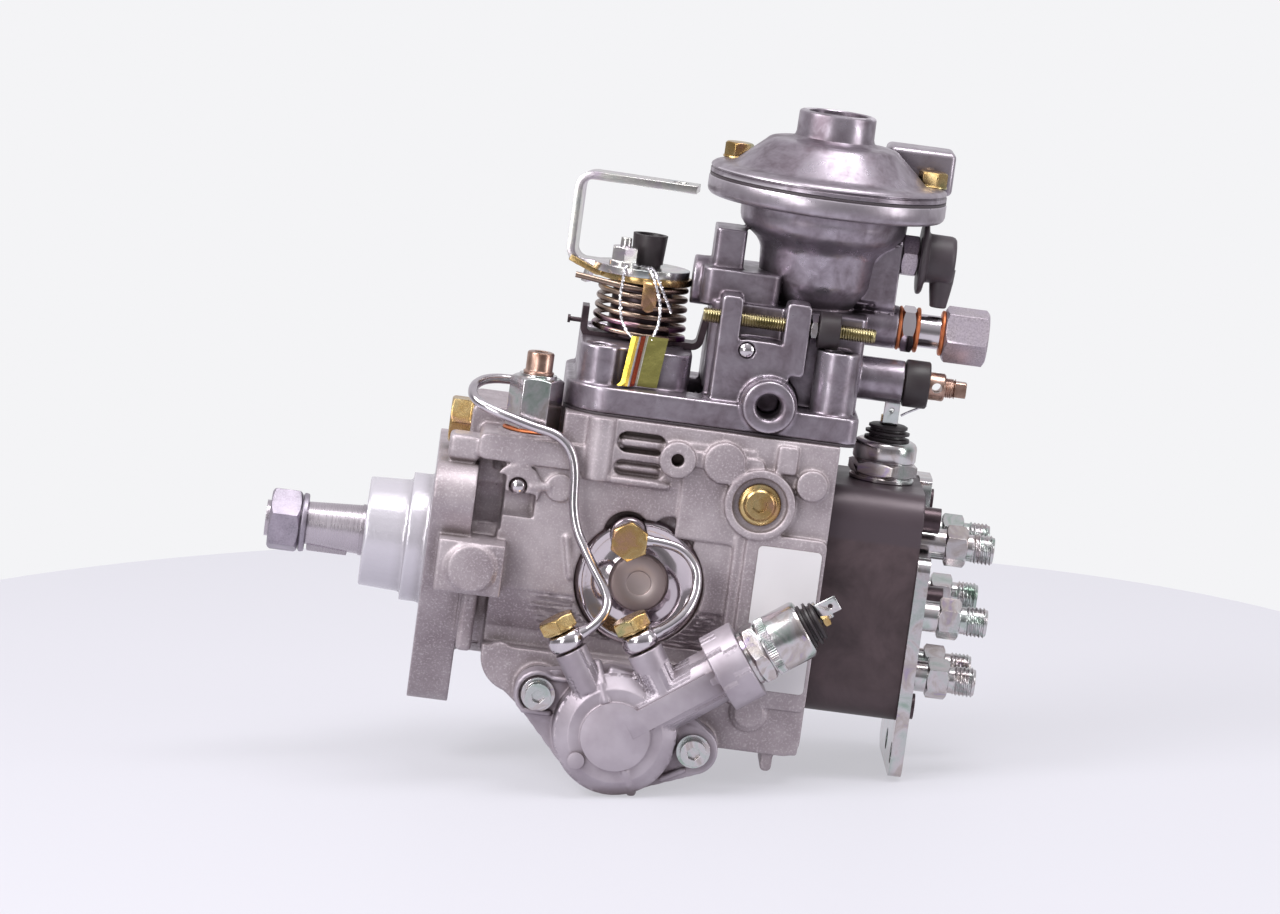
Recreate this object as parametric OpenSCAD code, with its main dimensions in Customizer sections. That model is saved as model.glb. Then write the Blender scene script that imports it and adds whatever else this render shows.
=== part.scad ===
// Distributor type diesel injection pump with a boost compensator, millimetres.
// +X runs along the drive shaft from the drive end to the head, +Z is up, -Y is the side with the pipes.
// The origin is on the shaft axis, in the mounting face of the flange.

/* [Drive end] */
// Radius of the pilot ring that centres the pump
pilot_r = 25; // [24.6:0.1:26]
// Length of the pilot ring
pilot_l = 8; // [7:0.5:10]
// Radius of the cast neck in front of the pilot ring
neck_r = 22; // [21:0.5:23]
// Length of the nose in front of the mounting face
nose_l = 24.5; // [22:0.5:27]
// Radius of the shaft journal, and of the big end of the taper
shaft_r = 10; // [9:0.1:10.5]
// Length of the shaft taper
taper_l = 21; // [18:0.5:24]
// Radius of the small end of the taper
taper_r = 8.3; // [7.8:0.1:8.7]
// Nominal radius of the shaft thread
thread_r = 7; // [6:0.1:7.4]
// Width of the shaft nut across its flats
shaft_nut_af = 22; // [20:0.5:24]
// Thickness of the shaft nut
shaft_nut_t = 12; // [10:0.5:13]
// Width of the woodruff key
key_w = 4; // [3:0.5:5]
// Radius of the woodruff key
key_r = 8; // [7:0.5:9]

/* [Mounting flange] */
// Thickness of the flange
flange_t = 16; // [13:0.5:18]
// Radius of the circle through the three mounting holes
flange_pcr = 50; // [48:0.5:52]
// Radius of a mounting hole
flange_hole_r = 5.25; // [4.5:0.25:6]
// Radius of the flange round a mounting hole
flange_lobe_r = 12.5; // [11.5:0.5:13.5]
// Length of the near lug along the shaft
lug_l = 30; // [28:0.5:31]
// Height of the near lug
lug_h = 20; // [18:0.5:22]

/* [Housing] */
// X of the head end of the housing
housing_end = 152; // [151:0.5:153]
// Half the width of the housing
housing_hw = 45; // [44:0.5:46]
// Z of the gasket plane under the governor cover
deck_z = 62.3; // [61.5:0.1:63]
// Radius of the main bore
bore_r = 34; // [33.5:0.1:34.5]
// Radius of the supply pump bore
pump_bore_r = 31; // [30.5:0.1:31.5]
// X of the bottom of the supply pump bore
pump_x = 17; // [17:0.5:18.5]
// Depth of the supply pump bore
pump_bore_l = 17; // [16.5:0.5:17.5]
// Half the width of the governor chamber
chamber_hw = 24; // [23:0.5:25]
// Radius of the side cover recess
side_r = 25; // [24:0.5:26]
// X of the side cover
side_x = 82.5; // [81.5:0.5:83]
// Depth of the side cover recess
side_d = 7; // [6:0.5:8]

/* [Supply pump and coupling] */
// Radius of the supply pump rotor
rotor_r = 21; // [20:0.5:21.5]
// Distance of the ring's hole from the shaft axis
ring_offset = 2; // [1.5:0.1:2.2]
// Thickness of the rotor
rotor_t = 11; // [10:0.5:11.5]
// Thickness of a vane
vane_t = 2; // [1.6:0.1:2.4]
// Module of the governor gears
gear_module = 1.25; // [1.24:0.01:1.26]
// Teeth of the gear on the shaft
drive_teeth = 39; // [39:1:39]
// Teeth of the gear on the flyweight cage
cage_teeth = 25; // [25:1:25]
// Face width of the gear on the shaft
drive_gear_t = 9; // [8:0.5:9.5]

/* [Governor] */
// Radius of the governor shaft
gov_shaft_r = 4; // [3.5:0.1:4.4]
// Outer radius of the flyweight cage
cage_r = 17.5; // [16.5:0.5:18]
// Length of the flyweight cage behind its gear
cage_l = 24; // [22:0.5:25]
// Outer radius of the governor sleeve
sleeve_r = 5.6; // [5.4:0.1:5.9]
// Length of the governor sleeve
sleeve_l = 44; // [43:0.5:45]
// Z of the pivot of the governor levers
lever_pivot_z = 27; // [26.5:0.5:27.5]
// Radius of the lever pivots
lever_pivot_r = 3; // [2.5:0.1:3.4]

/* [Cam, plunger and timing] */
// Thickness of the roller ring
roller_ring_t = 12; // [11:0.5:12.5]
// Radius of a cam roller
roller_r = 5; // [4.6:0.1:5.2]
// Distance of the rollers from the shaft axis
roller_pcr = 25; // [24.5:0.1:25.5]
// Height of the cam lobes
lobe_h = 2.2; // [1.8:0.1:2.4]
// Radius of the cam plate
cam_plate_r = 31; // [30.5:0.5:32]
// Radius of the plunger
plunger_r = 5; // [4.5:0.1:5.5]
// Radius of the control sleeve
control_r = 11.4; // [11:0.1:11.8]
// X of the timing axis
timing_x = 80.3; // [80:0.1:81]
// Z of the timing axis
timing_z = -54.5; // [-55:0.1:-54]
// Radius of the timing piston
piston_r = 14; // [13.6:0.1:14.4]
// Length of the timing piston
piston_l = 52; // [50:0.5:53]
// Travel of the timing piston
piston_travel = 8; // [6:0.5:8]
// Radius of the roller ring pin
timing_pin_r = 3.5; // [3:0.1:3.8]

/* [Timing cover] */
// Outer radius of the near timing cover
timing_cover_r = 24; // [23.5:0.1:24.5]
// Y of the seat of the timing covers
timing_seat_y = 50; // [49.5:0.5:50.5]
// Thickness of the timing cover flange
timing_flange_t = 11; // [10:0.5:12]
// Depth of the near timing cover from its seat to its flat face
timing_cover_d = 25; // [24:0.5:26]
// Half the distance between the two cover bolts
timing_bolt_pcr = 31.6; // [31:0.1:32.4]
// Angle of the line through the cover bolts
timing_bolt_angle = -13; // [-15:0.1:-11]
// Angle of the solenoid boss
solenoid_angle = 36; // [34:0.5:38]
// Radius of the solenoid boss
solenoid_boss_r = 15.5; // [15:0.1:16]
// Distance of the rim of the solenoid boss from the timing axis
solenoid_rim = 57.4; // [56.5:0.1:58.5]
// Radius of the can of the timing solenoid
timing_can_r = 11.5; // [11:0.1:12]

/* [Head and outlets] */
// Length of the distributor head
head_l = 36; // [34:0.5:37]
// Half the width of the distributor head
head_hw = 38; // [37.5:0.5:40]
// Z of the top of the distributor head
head_top = 46; // [45.5:0.5:47]
// Number of outlets
outlets = 6; // [6:1:6]
// Radius of the circle through the outlets
outlet_pcr = 30.2; // [29.8:0.1:30.6]
// Nominal radius of an outlet thread
outlet_r = 6; // [5.5:0.1:6.4]
// Width of a delivery valve holder across its flats
holder_af = 14; // [13:0.5:14.5]
// Length of a delivery valve holder outside the head
holder_l = 30; // [29:0.5:32]
// Half the height between the head screws
head_screw_z = 36.5; // [36:0.1:37]
// Half the width between the head screws
head_screw_y = 26; // [25.5:0.1:26.5]
// Thickness of the rear bracket
bracket_t = 5; // [4:0.5:6]
// Distance of the two lower bracket holes from each other
bracket_holes = 30; // [28:0.5:32]
// Distance of the shut-off solenoid from the housing
shutoff_back = 20; // [19:0.5:21]
// Radius of the can of the shut-off solenoid
shutoff_can_r = 12.3; // [12:0.1:12.8]
// Travel of the shut-off armature
shutoff_travel = 1.5; // [1:0.1:1.5]

/* [Governor cover] */
// Thickness of the cover's edge above the gasket
cover_edge_t = 10; // [9:0.5:11]
// Half the width of the governor cover
cover_hw = 42; // [41:0.5:43]
// X of the left end of the cover
cover_x0 = 45; // [44.5:0.5:46]
// Reach of the cover beyond the head end of the housing
cover_reach = 6; // [5:0.5:7]
// X of the throttle shaft
throttle_x = 70.5; // [70:0.1:71]
// Radius of the throttle shaft
throttle_r = 5; // [4.5:0.1:5.5]
// Z of the top of the throttle boss
throttle_boss_z = 88.5; // [88:0.5:89]
// Outer radius of the lever return spring
return_spring_r = 18; // [17.5:0.1:18.4]
// Height of the bow of the throttle lever above the spring plate
lever_bow_h = 34; // [33:0.5:36]
// Height of the coined pad round the lever's rod hole
lever_pad_h = 0.3; // [0.2:0.05:0.5]
// Thickness of the throttle lever strip
lever_t = 3; // [2.6:0.1:3.2]
// Width of the throttle lever strip
lever_w = 13; // [12:0.5:14]
// Radius of the stop screw
stop_screw_r = 3; // [2.5:0.1:3.4]
// Z of the stop screw
stop_screw_z = 105; // [104.5:0.1:105.5]
// Y of the stop screw
stop_screw_y = -32; // [-32.5:0.5:-31.5]
// Radius of the bore in the big near boss
side_bore_r = 4.7; // [4.2:0.1:5.2]

/* [Boost compensator] */
// X of the boost compensator
boost_x = 136; // [135.5:0.5:136.5]
// Outer radius of the diaphragm flange
boost_r = 46; // [45:0.5:47]
// Z of the parting plane under the diaphragm
boost_z = 156; // [155.5:0.5:156.5]
// Thickness of the diaphragm
diaphragm_t = 1; // [0.8:0.1:1.2]
// Outer radius of the bowl under the flange
bowl_r = 32; // [31.5:0.5:32.5]
// Height of the boost cover above the diaphragm
boost_cover_h = 28.5; // [28:0.5:29]
// Travel of the boost pin
boost_travel = 5; // [3:0.5:5]
// Radius of the boost pin
boost_pin_r = 3.5; // [3:0.1:4]
// Distance of the boost cover screws from the rim of the flange
boost_screw_in = 6; // [5.7:0.1:6.3]

/* [Fits] */
// Radial clearance of a running fit
run_fit = 0.05; // [0.02:0.01:0.08]
// Gap between pieces that lie against each other but may move
rest_gap = 0.3; // [0.25:0.05:0.35]

/* [Hidden] */
$fn = 48;
eps = 0.01;
cast = [0.62, 0.58, 0.6];
diecast = [0.66, 0.64, 0.68];
steel = [0.72, 0.72, 0.74];
gold_zinc = [0.78, 0.66, 0.3];
clear_zinc = [0.78, 0.8, 0.82];
black = [0.1, 0.09, 0.1];

// Shaft stations
shaft_shoulder_x = -nose_l - 1.5;
taper_end_x = shaft_shoulder_x - taper_l;
washer_t = 2.6;
washer_r = 11.5;
nut_x = taper_end_x - washer_t;
shaft_end_x = nut_x - shaft_nut_t - 1.5;
key_x = taper_end_x + taper_l * 0.42;
shaft_tail_x = 72;
cross_l = 20;
bush_r = shaft_r + 3;
seal_r = shaft_r + 6;
seal_l = 7;

// Supply pump and gears
ring_x = pump_x + rest_gap;
ring_t = rotor_t + 2 * rest_gap;
ring_hole_r = rotor_r + ring_offset + rest_gap;
plate_x = ring_x + ring_t;
plate_t = 3;
gov_z = gear_module * (drive_teeth + cage_teeth) / 2;
drive_gear_x = pump_x + pump_bore_l + 1.3;
cage_gear_t = drive_gear_t - 1;
cage_x = drive_gear_x + drive_gear_t + rest_gap;
main_bore_x = pump_x + pump_bore_l;
chamber_x = 48;

// Governor train
sleeve_x = cage_x + cage_l + rest_gap;
lever_x = sleeve_x + sleeve_l + rest_gap;
sleeve_tip = 5;
lever_t2 = 4;
lever_mid_x = lever_x + lever_t2 / 2;
gov_spring_z = 66;

// Cam train, worked back from the roller ring on the timing axis
roller_ring_x = timing_x - roller_ring_t / 2;
roller_x = roller_ring_x + roller_ring_t;
lobe_x = roller_x + roller_r + rest_gap;
cam_plate_x = lobe_x + lobe_h;
cam_plate_t = 6;
cam_hub_x = shaft_tail_x + 6;
foot_x = cam_plate_x + cam_plate_t;
control_l = 12;
bridge_x = foot_x + 2.5 + rest_gap;
bridge_t = 2.4;
control_x = lever_mid_x - control_l / 2;
plunger_end = housing_end + 20;
barrel_r = 12;
barrel_x = housing_end - 20;
spring_y = 20;
spring_seat_x = bridge_x + bridge_t;
roller_ring_r = bore_r - run_fit;

// Timing gear
timing_bore_r = piston_r + run_fit;
piston_y = -piston_l / 2 - 3;
piston_cup = 10;
pin_reach = -timing_z + 4;
timing_face_y = -timing_seat_y - timing_cover_d;
gasket_t = 0.8;
timing_bolt_lift = 3.2;
solenoid_lift = 1.2;
far_cover_r = 19;
far_cover_t = 9;
bolt_head_r = 5;
bolt_head_t = 5;
rim_cup_t = 13;
solenoid_y = timing_face_y + 10;
can_l = 25;
banjo_eyes = [[57.2, -21.4], [85, -17.7]];
banjo_boss_r = [6.3, 7];
banjo_y = -68;
banjo_lean = -33;
eye_t = 7.4;
pipe_r = 1.9;
eye_seat = eye_t / 2 + 0.4;
third_eye = [76.2, -housing_hw - 5.4, 18.6];

// Head and outlets
head_end = housing_end + head_l;
shutoff_x = housing_end + shutoff_back;
outlet_turn = 30;
head_foot = -42.5;
bracket_x = head_end;
armature_r = 4;

// Pressure valve
valve_x = 34;
valve_y = -33;
valve_z = 53;

// Cover, throttle and boost levels
cover_gasket_t = 1;
cover_z = deck_z + cover_gasket_t;
cover_x1 = housing_end + cover_reach;
vent_x = boost_x + bowl_r - 0.6;
union_x = vent_x + 2.6;
full_load_x = cover_x1 + 16.7;
boost_screw_pcr = boost_r - boost_screw_in;
plug_x = housing_end - 27.8;
plug_z = 36.8;
label_x = housing_end - 26;
label_out = 3;
edge_z = cover_z + cover_edge_t;
plate_z = 111.5;
plate_t2 = 2.4;
hub_z = plate_z + plate_t2;
hub_r = 17;
spring_turns = 6;
spring_wire = 1.25;
spring_z0 = throttle_boss_z + spring_wire + rest_gap;
upper_y = -24;
upper_z = 122;
body_z = 110;
neck_top_z = boost_z - 25;
flange_under = boost_z - 7;
diaphragm_top = boost_z + diaphragm_t;
boost_screw_seat = diaphragm_top + 4.5;
pin_plate_r = 19.7;
union_z = 106;
full_load_z = 86;
vent_z = 134.4;
side_bore = [122.6, 74.3];
boost_screw_angles = [4, 83, 152];
boost_port = [21, diaphragm_top + 9.5];
cover_screw_places = [[housing_end - 5, -32], [housing_end - 5, 32], [57, 30], [57, -30]];

// A 2D shape drawn in X and Z, made solid from y0 to y1
module along_y(y0, y1) {
    translate([0, y1, 0]) rotate([90, 0, 0]) linear_extrude(y1 - y0) children();
}

// A 2D shape drawn in Y and Z, made solid from x0 to x1
module along_x(x0, x1) {
    translate([x0, 0, 0]) rotate([90, 0, 90]) linear_extrude(x1 - x0) children();
}

// A 2D shape drawn in X and Y, made solid from z0 to z1
module along_z(z0, z1) {
    translate([0, 0, z0]) linear_extrude(z1 - z0) children();
}

// Round bars along an axis, with an optional second radius at the far end
module bar_x(x0, x1, r, r2 = -1) {
    translate([x0, 0, 0]) rotate([0, 90, 0]) cylinder(h = x1 - x0, r1 = r, r2 = r2 < 0 ? r : r2);
}

module bar_y(y0, y1, r, r2 = -1) {
    translate([0, y0, 0]) rotate([-90, 0, 0]) cylinder(h = y1 - y0, r1 = r, r2 = r2 < 0 ? r : r2);
}

module bar_z(z0, z1, r, r2 = -1) {
    translate([0, 0, z0]) cylinder(h = z1 - z0, r1 = r, r2 = r2 < 0 ? r : r2);
}

// A tube along X
module tube_x(x0, x1, r, hole) {
    difference() {
        bar_x(x0, x1, r);
        bar_x(x0 - 1, x1 + 1, hole);
    }
}

// A hexagonal bar along Z, with both ends chamfered by a turned cone
module hex_z(z0, z1, af) {
    r = af / sqrt(3);
    cut = r - af / 2;
    intersection() {
        translate([0, 0, z0]) cylinder(h = z1 - z0, r = r, $fn = 6);
        rotate_extrude() polygon([[0, z0], [af / 2, z0], [r, z0 + cut * 0.6], [r, z1 - cut * 0.6], [af / 2, z1], [0, z1]]);
    }
}

// A flat shape with rounded corners between two opposite corners
module rounded(a, b, r) {
    translate([a[0] + r, a[1]]) square([b[0] - a[0] - 2 * r, b[1] - a[1]]);
    translate([a[0], a[1] + r]) square([b[0] - a[0], b[1] - a[1] - 2 * r]);
    for (x = [a[0] + r, b[0] - r], y = [a[1] + r, b[1] - r]) translate([x, y]) circle(r);
}

// A flat bar with round ends between two points
module link2d(a, b, r) {
    d = b - a;
    translate(a) rotate(atan2(d[1], d[0])) {
        circle(r);
        translate([0, -r]) square([norm(d), 2 * r]);
        translate([norm(d), 0]) circle(r);
    }
}

// Points of a screw thread's or spring's centre line
function coil_points(r, turns, rise, steps) =
    [for (i = [0 : turns * steps]) [r * cos(360 * i / steps), r * sin(360 * i / steps), rise * i / (turns * steps)]];

// A round bar swept along points, each ring square to the path
function unit(v) = v / norm(v);
function path_way(p, i) = unit(p[min(i + 1, len(p) - 1)] - p[max(i - 1, 0)]);
function ring_points(c, way, up, r, sides) =
    let (u = unit(cross(way, up)), v = cross(u, way))
    [for (k = [0 : sides - 1]) c + r * (u * cos(360 * k / sides) + v * sin(360 * k / sides))];

module sweep(path, r, up, sides = 8) {
    n = len(path);
    points = [for (i = [0 : n - 1]) each ring_points(path[i], path_way(path, i), up, r, sides)];
    side_faces = [for (i = [0 : n - 2], k = [0 : sides - 1])
        [i * sides + k, i * sides + (k + 1) % sides, (i + 1) * sides + (k + 1) % sides, (i + 1) * sides + k]];
    start_face = [for (k = [sides - 1 : -1 : 0]) k];
    end_face = [for (k = [0 : sides - 1]) (n - 1) * sides + k];
    polyhedron(points, concat([start_face], side_faces, [end_face]));
}

// A coil spring along Z
module spring_z(r, wire, turns, z0, z1, steps = 20) {
    translate([0, 0, z0]) sweep(coil_points(r, turns, z1 - z0, steps), wire, [0, 0, 1], 6);
}

// The direction of the timing solenoid, drawn as if it were Z
module on_solenoid() {
    translate([timing_x, solenoid_y, timing_z + solenoid_lift]) rotate([0, 90 - solenoid_angle, 0]) children();
}

// Places children at the two bolts of a timing cover
module at_timing_bolts() {
    for (s = [-1, 1]) translate([timing_x, 0, timing_z + timing_bolt_lift])
        rotate([0, -timing_bolt_angle, 0]) translate([s * timing_bolt_pcr, 0, 0]) children();
}

function flange_hole(i) = flange_pcr * [sin(120 * i + 60), cos(120 * i + 60)];

// Mounting flange outline in Y and Z: three round lobes joined by straight edges
module flange_outline() {
    for (i = [0 : 2]) link2d(flange_hole(i), flange_hole(i + 1), flange_lobe_r);
    polygon([for (i = [0 : 2]) flange_hole(i)]);
}

// Side view of the housing behind the flange, in X and Z
module housing_outline() {
    left = 26;
    foot_z = -59;
    rounded([left, -48], [left + 40, 47], 14);
    translate([left + 20, -40]) square([housing_end - left - 20, deck_z + 40]);
    translate([left, 0]) square([22, 47]);
    translate([timing_x, timing_z]) circle(timing_bore_r + 8.7);
    polygon([[left + 6, -44], [timing_x - 20, timing_z - 12], [timing_x, timing_z], [timing_x, -30], [left + 20, -30]]);
    rounded([timing_x + 10, foot_z], [housing_end, -30], 6);
}

// End view of the housing, in Y and Z
module housing_section() {
    circle(housing_hw);
    translate([-housing_hw, -8]) square([2 * housing_hw, deck_z + 8]);
    translate([7 - housing_hw, -62]) square([2 * housing_hw - 14, 40]);
    translate([-housing_hw - 1, timing_z - 30]) square([2 * housing_hw + 2, 54]);
}

module wall_boss(x, z, r, out) {
    translate([x, 0, z]) bar_y(-housing_hw - out, -housing_hw + 4, r);
}

module wall_pocket(x, z, w, h, d) {
    along_y(-housing_hw - 1, -housing_hw + d) rounded([x, z], [x + w, z + h], h / 2 - 0.1);
}

module timing_barrel() {
    translate([timing_x, 0, timing_z]) bar_y(-timing_seat_y, timing_seat_y, timing_bore_r + 9.5);
    at_timing_bolts() {
        bar_y(-timing_seat_y + 0.1, -housing_hw + 6, 9);
        bar_y(housing_hw - 6, timing_seat_y - 0.1, 9);
    }
}

module housing() {
    color(cast) difference() {
        union() {
            bar_x(-nose_l, 2, neck_r - 0.8, neck_r + 0.4);
            bar_x(-pilot_l, 2, pilot_r);
            along_x(0, flange_t) flange_outline();
            along_y(-62, -30) translate([4.5, -lug_h / 2 + 0.3]) square([lug_l - 4.5, lug_h]);
            translate([17.8, 0, 0.5]) bar_y(-63, -50, 10);
            bar_x(flange_t - 1, 30, 41);
            along_x(flange_t - 1, 30) rounded([-34, 10], [34, 47], 6);
            intersection() {
                along_y(-timing_seat_y, timing_seat_y) housing_outline();
                along_x(20, housing_end) housing_section();
            }
            timing_barrel();
            along_y(-housing_hw - 1.5, housing_hw) rounded([flange_t - 1, 40.5], [60, 50.5], 3);
            along_y(-16, 32) rounded([11, 36], [40, 57], 3);
            along_y(-21, 32) rounded([31, 34], [52, deck_z - 0.5], 3);
            translate([valve_x, valve_y, 0]) bar_z(36, valve_z - 1, 12.5);
            along_y(-housing_hw - label_out, -housing_hw + 5) rounded([label_x - 5, -41], [housing_end, 26], 3);
            wall_boss(31.7, 31.7, 9, 1.5);
            wall_boss(47.6, 33.1, 5.4, 1.4);
            wall_boss(90.8, 50, 7, 4);
            wall_boss(108.8, 51, 8, 3.4);
            wall_boss(plug_x, plug_z, 13.6, 4);
            wall_boss(housing_end - 8.9, 46.5, 6, 3);
            wall_boss(33, -35, 6, 0.6);
            translate([60.5, -housing_hw + 1, 0]) bar_z(38, deck_z, 5.6);
            along_y(-housing_hw - 2, -housing_hw + 5) rounded([93, 48], [plug_x, 54], 2.9);
            along_y(-44, -20) rounded([housing_end - 14, -66], [housing_end - 9.5, -50], 2);
        }
        shaft_hole();
        translate([pump_x, 0, 0]) bar_x(0, pump_bore_l + 1, pump_bore_r);
        bar_x(main_bore_x, housing_end + 1, bore_r);
        along_y(-chamber_hw, chamber_hw) translate([chamber_x, 8]) square([housing_end - 14 - chamber_x, deck_z]);
        translate([main_bore_x, 0, gov_z]) bar_x(0, chamber_x - main_bore_x + 1, cage_r + 1);
        translate([0, 0, gov_z]) bar_x(pump_x + 4, main_bore_x + 1, gov_shaft_r);
        translate([timing_x, 0, timing_z]) bar_y(-timing_seat_y - 1, timing_seat_y + 1, timing_bore_r);
        translate([timing_x - 6, -6, timing_z + 5]) cube([12, piston_travel + 14, 36]);
        for (i = [0 : 2]) translate([-1, flange_hole(i)[0], flange_hole(i)[1]]) bar_x(0, 40, flange_hole_r);
        for (i = [0, 2]) translate([flange_t, flange_hole(i)[0], flange_hole(i)[1]]) bar_x(0, 11, 11);
        translate([lever_mid_x, 0, lever_pivot_z]) bar_y(-chamber_hw - 5, chamber_hw + 5, lever_pivot_r + run_fit);
        at_timing_bolts() {
            bar_y(-timing_seat_y - 1, -timing_seat_y + 14, 3.1);
            bar_y(timing_seat_y - 14, timing_seat_y + 1, 3.1);
        }
        for (p = cover_screw_places) translate([p[0], p[1], 0]) bar_z(deck_z - 14, deck_z + 1, 3.1);
        translate([valve_x, valve_y, 0]) bar_z(valve_z - 10, valve_z + 1, 7);
        translate([0, -4, 48.6]) bar_x(10, 21, 5);
        wall_details();
    }
}

// Stepped hole for the shaft, its bush and its seal
module shaft_hole() {
    bar_x(-nose_l - 1, -nose_l + seal_l, seal_r);
    bar_x(-nose_l, pump_x + 1, bush_r);
}

// Recesses and holes in the near wall
module wall_details() {
    translate([side_x, 0, 0]) bar_y(-60, -housing_hw + side_d, side_r);
    for (x = [-7, 10]) translate([side_x + x, 0, 18.5]) bar_y(-60, -housing_hw + side_d, 9);
    translate([31.7, 0, 31.7]) bar_y(-60, -housing_hw + 5.3, 3.6);
    translate([90.8, 0, 50]) bar_y(-60, -housing_hw + 4, 2.5);
    translate([plug_x, 0, plug_z]) {
        bar_y(-60, -housing_hw - 1, 10.6);
        bar_y(-60, -housing_hw + 8, 5);
    }
    wall_pocket(67, 50, 19, 8, 4);
    wall_pocket(67, 41, 19, 6, 4);
}

module shaft_bush() {
    color([0.7, 0.5, 0.3]) tube_x(-nose_l + seal_l + 0.5, pump_x - rest_gap, bush_r, shaft_r + run_fit);
}

module seals() {
    color(black) {
        tube_x(-nose_l + 0.5, -nose_l + seal_l, seal_r, shaft_r + run_fit);
        difference() {
            along_z(deck_z, cover_z) cover_outline(0);
            along_z(deck_z - 1, cover_z + 1) rounded([chamber_x + 1, -27], [housing_end - 14, 27], 6);
            for (p = cover_screw_places) translate([p[0], p[1], 0]) bar_z(deck_z - 1, cover_z + 1, 3.4);
        }
        timing_gasket(-timing_seat_y - gasket_t);
        timing_gasket(timing_seat_y);
    }
}

module timing_gasket(y) {
    translate([0, y, 0]) difference() {
        along_y(0, gasket_t) timing_plate_outline(far_cover_r);
        translate([timing_x, 0, timing_z]) bar_y(-1, gasket_t + 1, timing_bore_r);
        at_timing_bolts() bar_y(-1, gasket_t + 1, 3.4);
    }
}

// Outline of a timing cover at its seat: a disc with two bolt ears
module timing_plate_outline(r) {
    translate([timing_x, timing_z]) circle(r);
    translate([timing_x, timing_z + timing_bolt_lift]) rotate(timing_bolt_angle)
        link2d([-timing_bolt_pcr, 0], [timing_bolt_pcr, 0], 9);
}

module supply_pump_ring() {
    color(steel) {
        difference() {
            bar_x(ring_x, ring_x + ring_t, pump_bore_r - run_fit);
            translate([0, 0, -ring_offset]) bar_x(ring_x - 1, ring_x + ring_t + 1, ring_hole_r);
        }
        tube_x(plate_x + 0.05, plate_x + plate_t, pump_bore_r - run_fit, shaft_r + 1.5);
    }
}

module governor_shaft() {
    color(steel) translate([0, 0, gov_z]) bar_x(pump_x + 4.5, sleeve_x + sleeve_l - sleeve_tip - 2.5, gov_shaft_r);
}

// End view of the distributor head, in Y and Z
module head_outline() {
    rounded([-head_hw, head_foot], [head_hw, head_top], 12);
}

module distributor_head() {
    color([0.17, 0.14, 0.14]) difference() {
        union() {
            along_x(housing_end, head_end) head_outline();
            bar_x(housing_end - 8, housing_end, bore_r - run_fit);
            bar_x(barrel_x, housing_end, barrel_r);
        }
        bar_x(barrel_x - 1, plunger_end + 4, plunger_r + run_fit);
        for (s = [-1, 1]) translate([0, s * spring_y, 0]) bar_x(housing_end - 10, housing_end + 6, 9);
        for (i = [0 : outlets - 1]) outlet_place(i) bar_x(head_end - 16, head_end + 1, outlet_r);
        bar_x(head_end - 8, head_end + 1, 5);
        for (s = [-1, 1], t = [-1, 1]) translate([0, s * head_screw_y, t * head_screw_z]) bar_x(head_end - 20, head_end + 1, 3);
        translate([shutoff_x, 0, 0]) {
            bar_z(plunger_r - 1, head_top, armature_r + run_fit);
            bar_z(head_top - 10, head_top + 1, 9);
        }
    }
}

module outlet_place(i) {
    rotate([outlet_turn + i * 360 / outlets, 0, 0]) translate([0, 0, outlet_pcr]) children();
}

module head_screws() {
    color(black) {
        for (s = [-1, 1], t = [-1, 1]) translate([0, s * head_screw_y, t * head_screw_z]) socket_screw_x();
        difference() {
            union() {
                bar_x(head_end - 8, head_end, 5);
                bar_x(head_end, head_end + 14, 7);
            }
            translate([head_end + 10, 0, 0]) rotate([0, 90, 0]) cylinder(h = 5, r = 3.5, $fn = 6);
        }
    }
}

module socket_screw_x() {
    difference() {
        union() {
            bar_x(head_end - 19, head_end + 2, 3);
            bar_x(head_end, head_end + 7, 5);
        }
        translate([head_end + 3.5, 0, 0]) rotate([0, 90, 0]) cylinder(h = 5, r = 2.9, $fn = 6);
    }
}

module delivery_valve_holders() {
    color(clear_zinc) for (i = [0 : outlets - 1]) outlet_place(i) {
        difference() {
            union() {
                bar_x(head_end - 15, head_end + 12, outlet_r);
                translate([head_end + 11, 0, 0]) rotate([0, 90, 0]) hex_z(0, 8.5, holder_af);
                bar_x(head_end + 19, head_end + 21.5, outlet_r - 0.8);
                bar_x(head_end + 21, head_end + holder_l - 1, outlet_r);
                bar_x(head_end + holder_l - 1, head_end + holder_l, outlet_r, outlet_r - 0.9);
            }
            bar_x(head_end - 16, head_end + 14, 3.2);
            bar_x(head_end + 13, head_end + holder_l + 1, 1.4);
            bar_x(head_end + holder_l - 3, head_end + holder_l + 1, 1.2, 4);
        }
        bar_x(head_end - 13, head_end - 3, 2.8);
    }
}

// Rear bracket outline in Y and Z: it leaves the outlets and head screws free
module bracket_outline() {
    difference() {
        union() {
            rounded([-40, -63], [34, 23], 5);
            rounded([-14, 0], [36, 33], 4);
            rounded([10, 20], [36, 47], 5);
        }
        translate([30, -74]) rotate(20) square([70, 24], center = true);
    }
}

module rear_bracket() {
    color(clear_zinc) difference() {
        along_x(bracket_x, bracket_x + bracket_t) bracket_outline();
        for (i = [0 : outlets - 1]) outlet_place(i) bar_x(bracket_x - 1, bracket_x + bracket_t + 1, outlet_r + 1.5);
        bar_x(bracket_x - 1, bracket_x + bracket_t + 1, 8);
        for (s = [-1, 1], t = [-1, 1]) translate([0, s * head_screw_y, t * head_screw_z])
            bar_x(bracket_x - 1, bracket_x + bracket_t + 1, 6);
        for (s = [-1, 1]) translate([0, -20 + s * bracket_holes / 2, -54]) bar_x(bracket_x - 1, bracket_x + bracket_t + 1, 4.25);
    }
}

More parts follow.
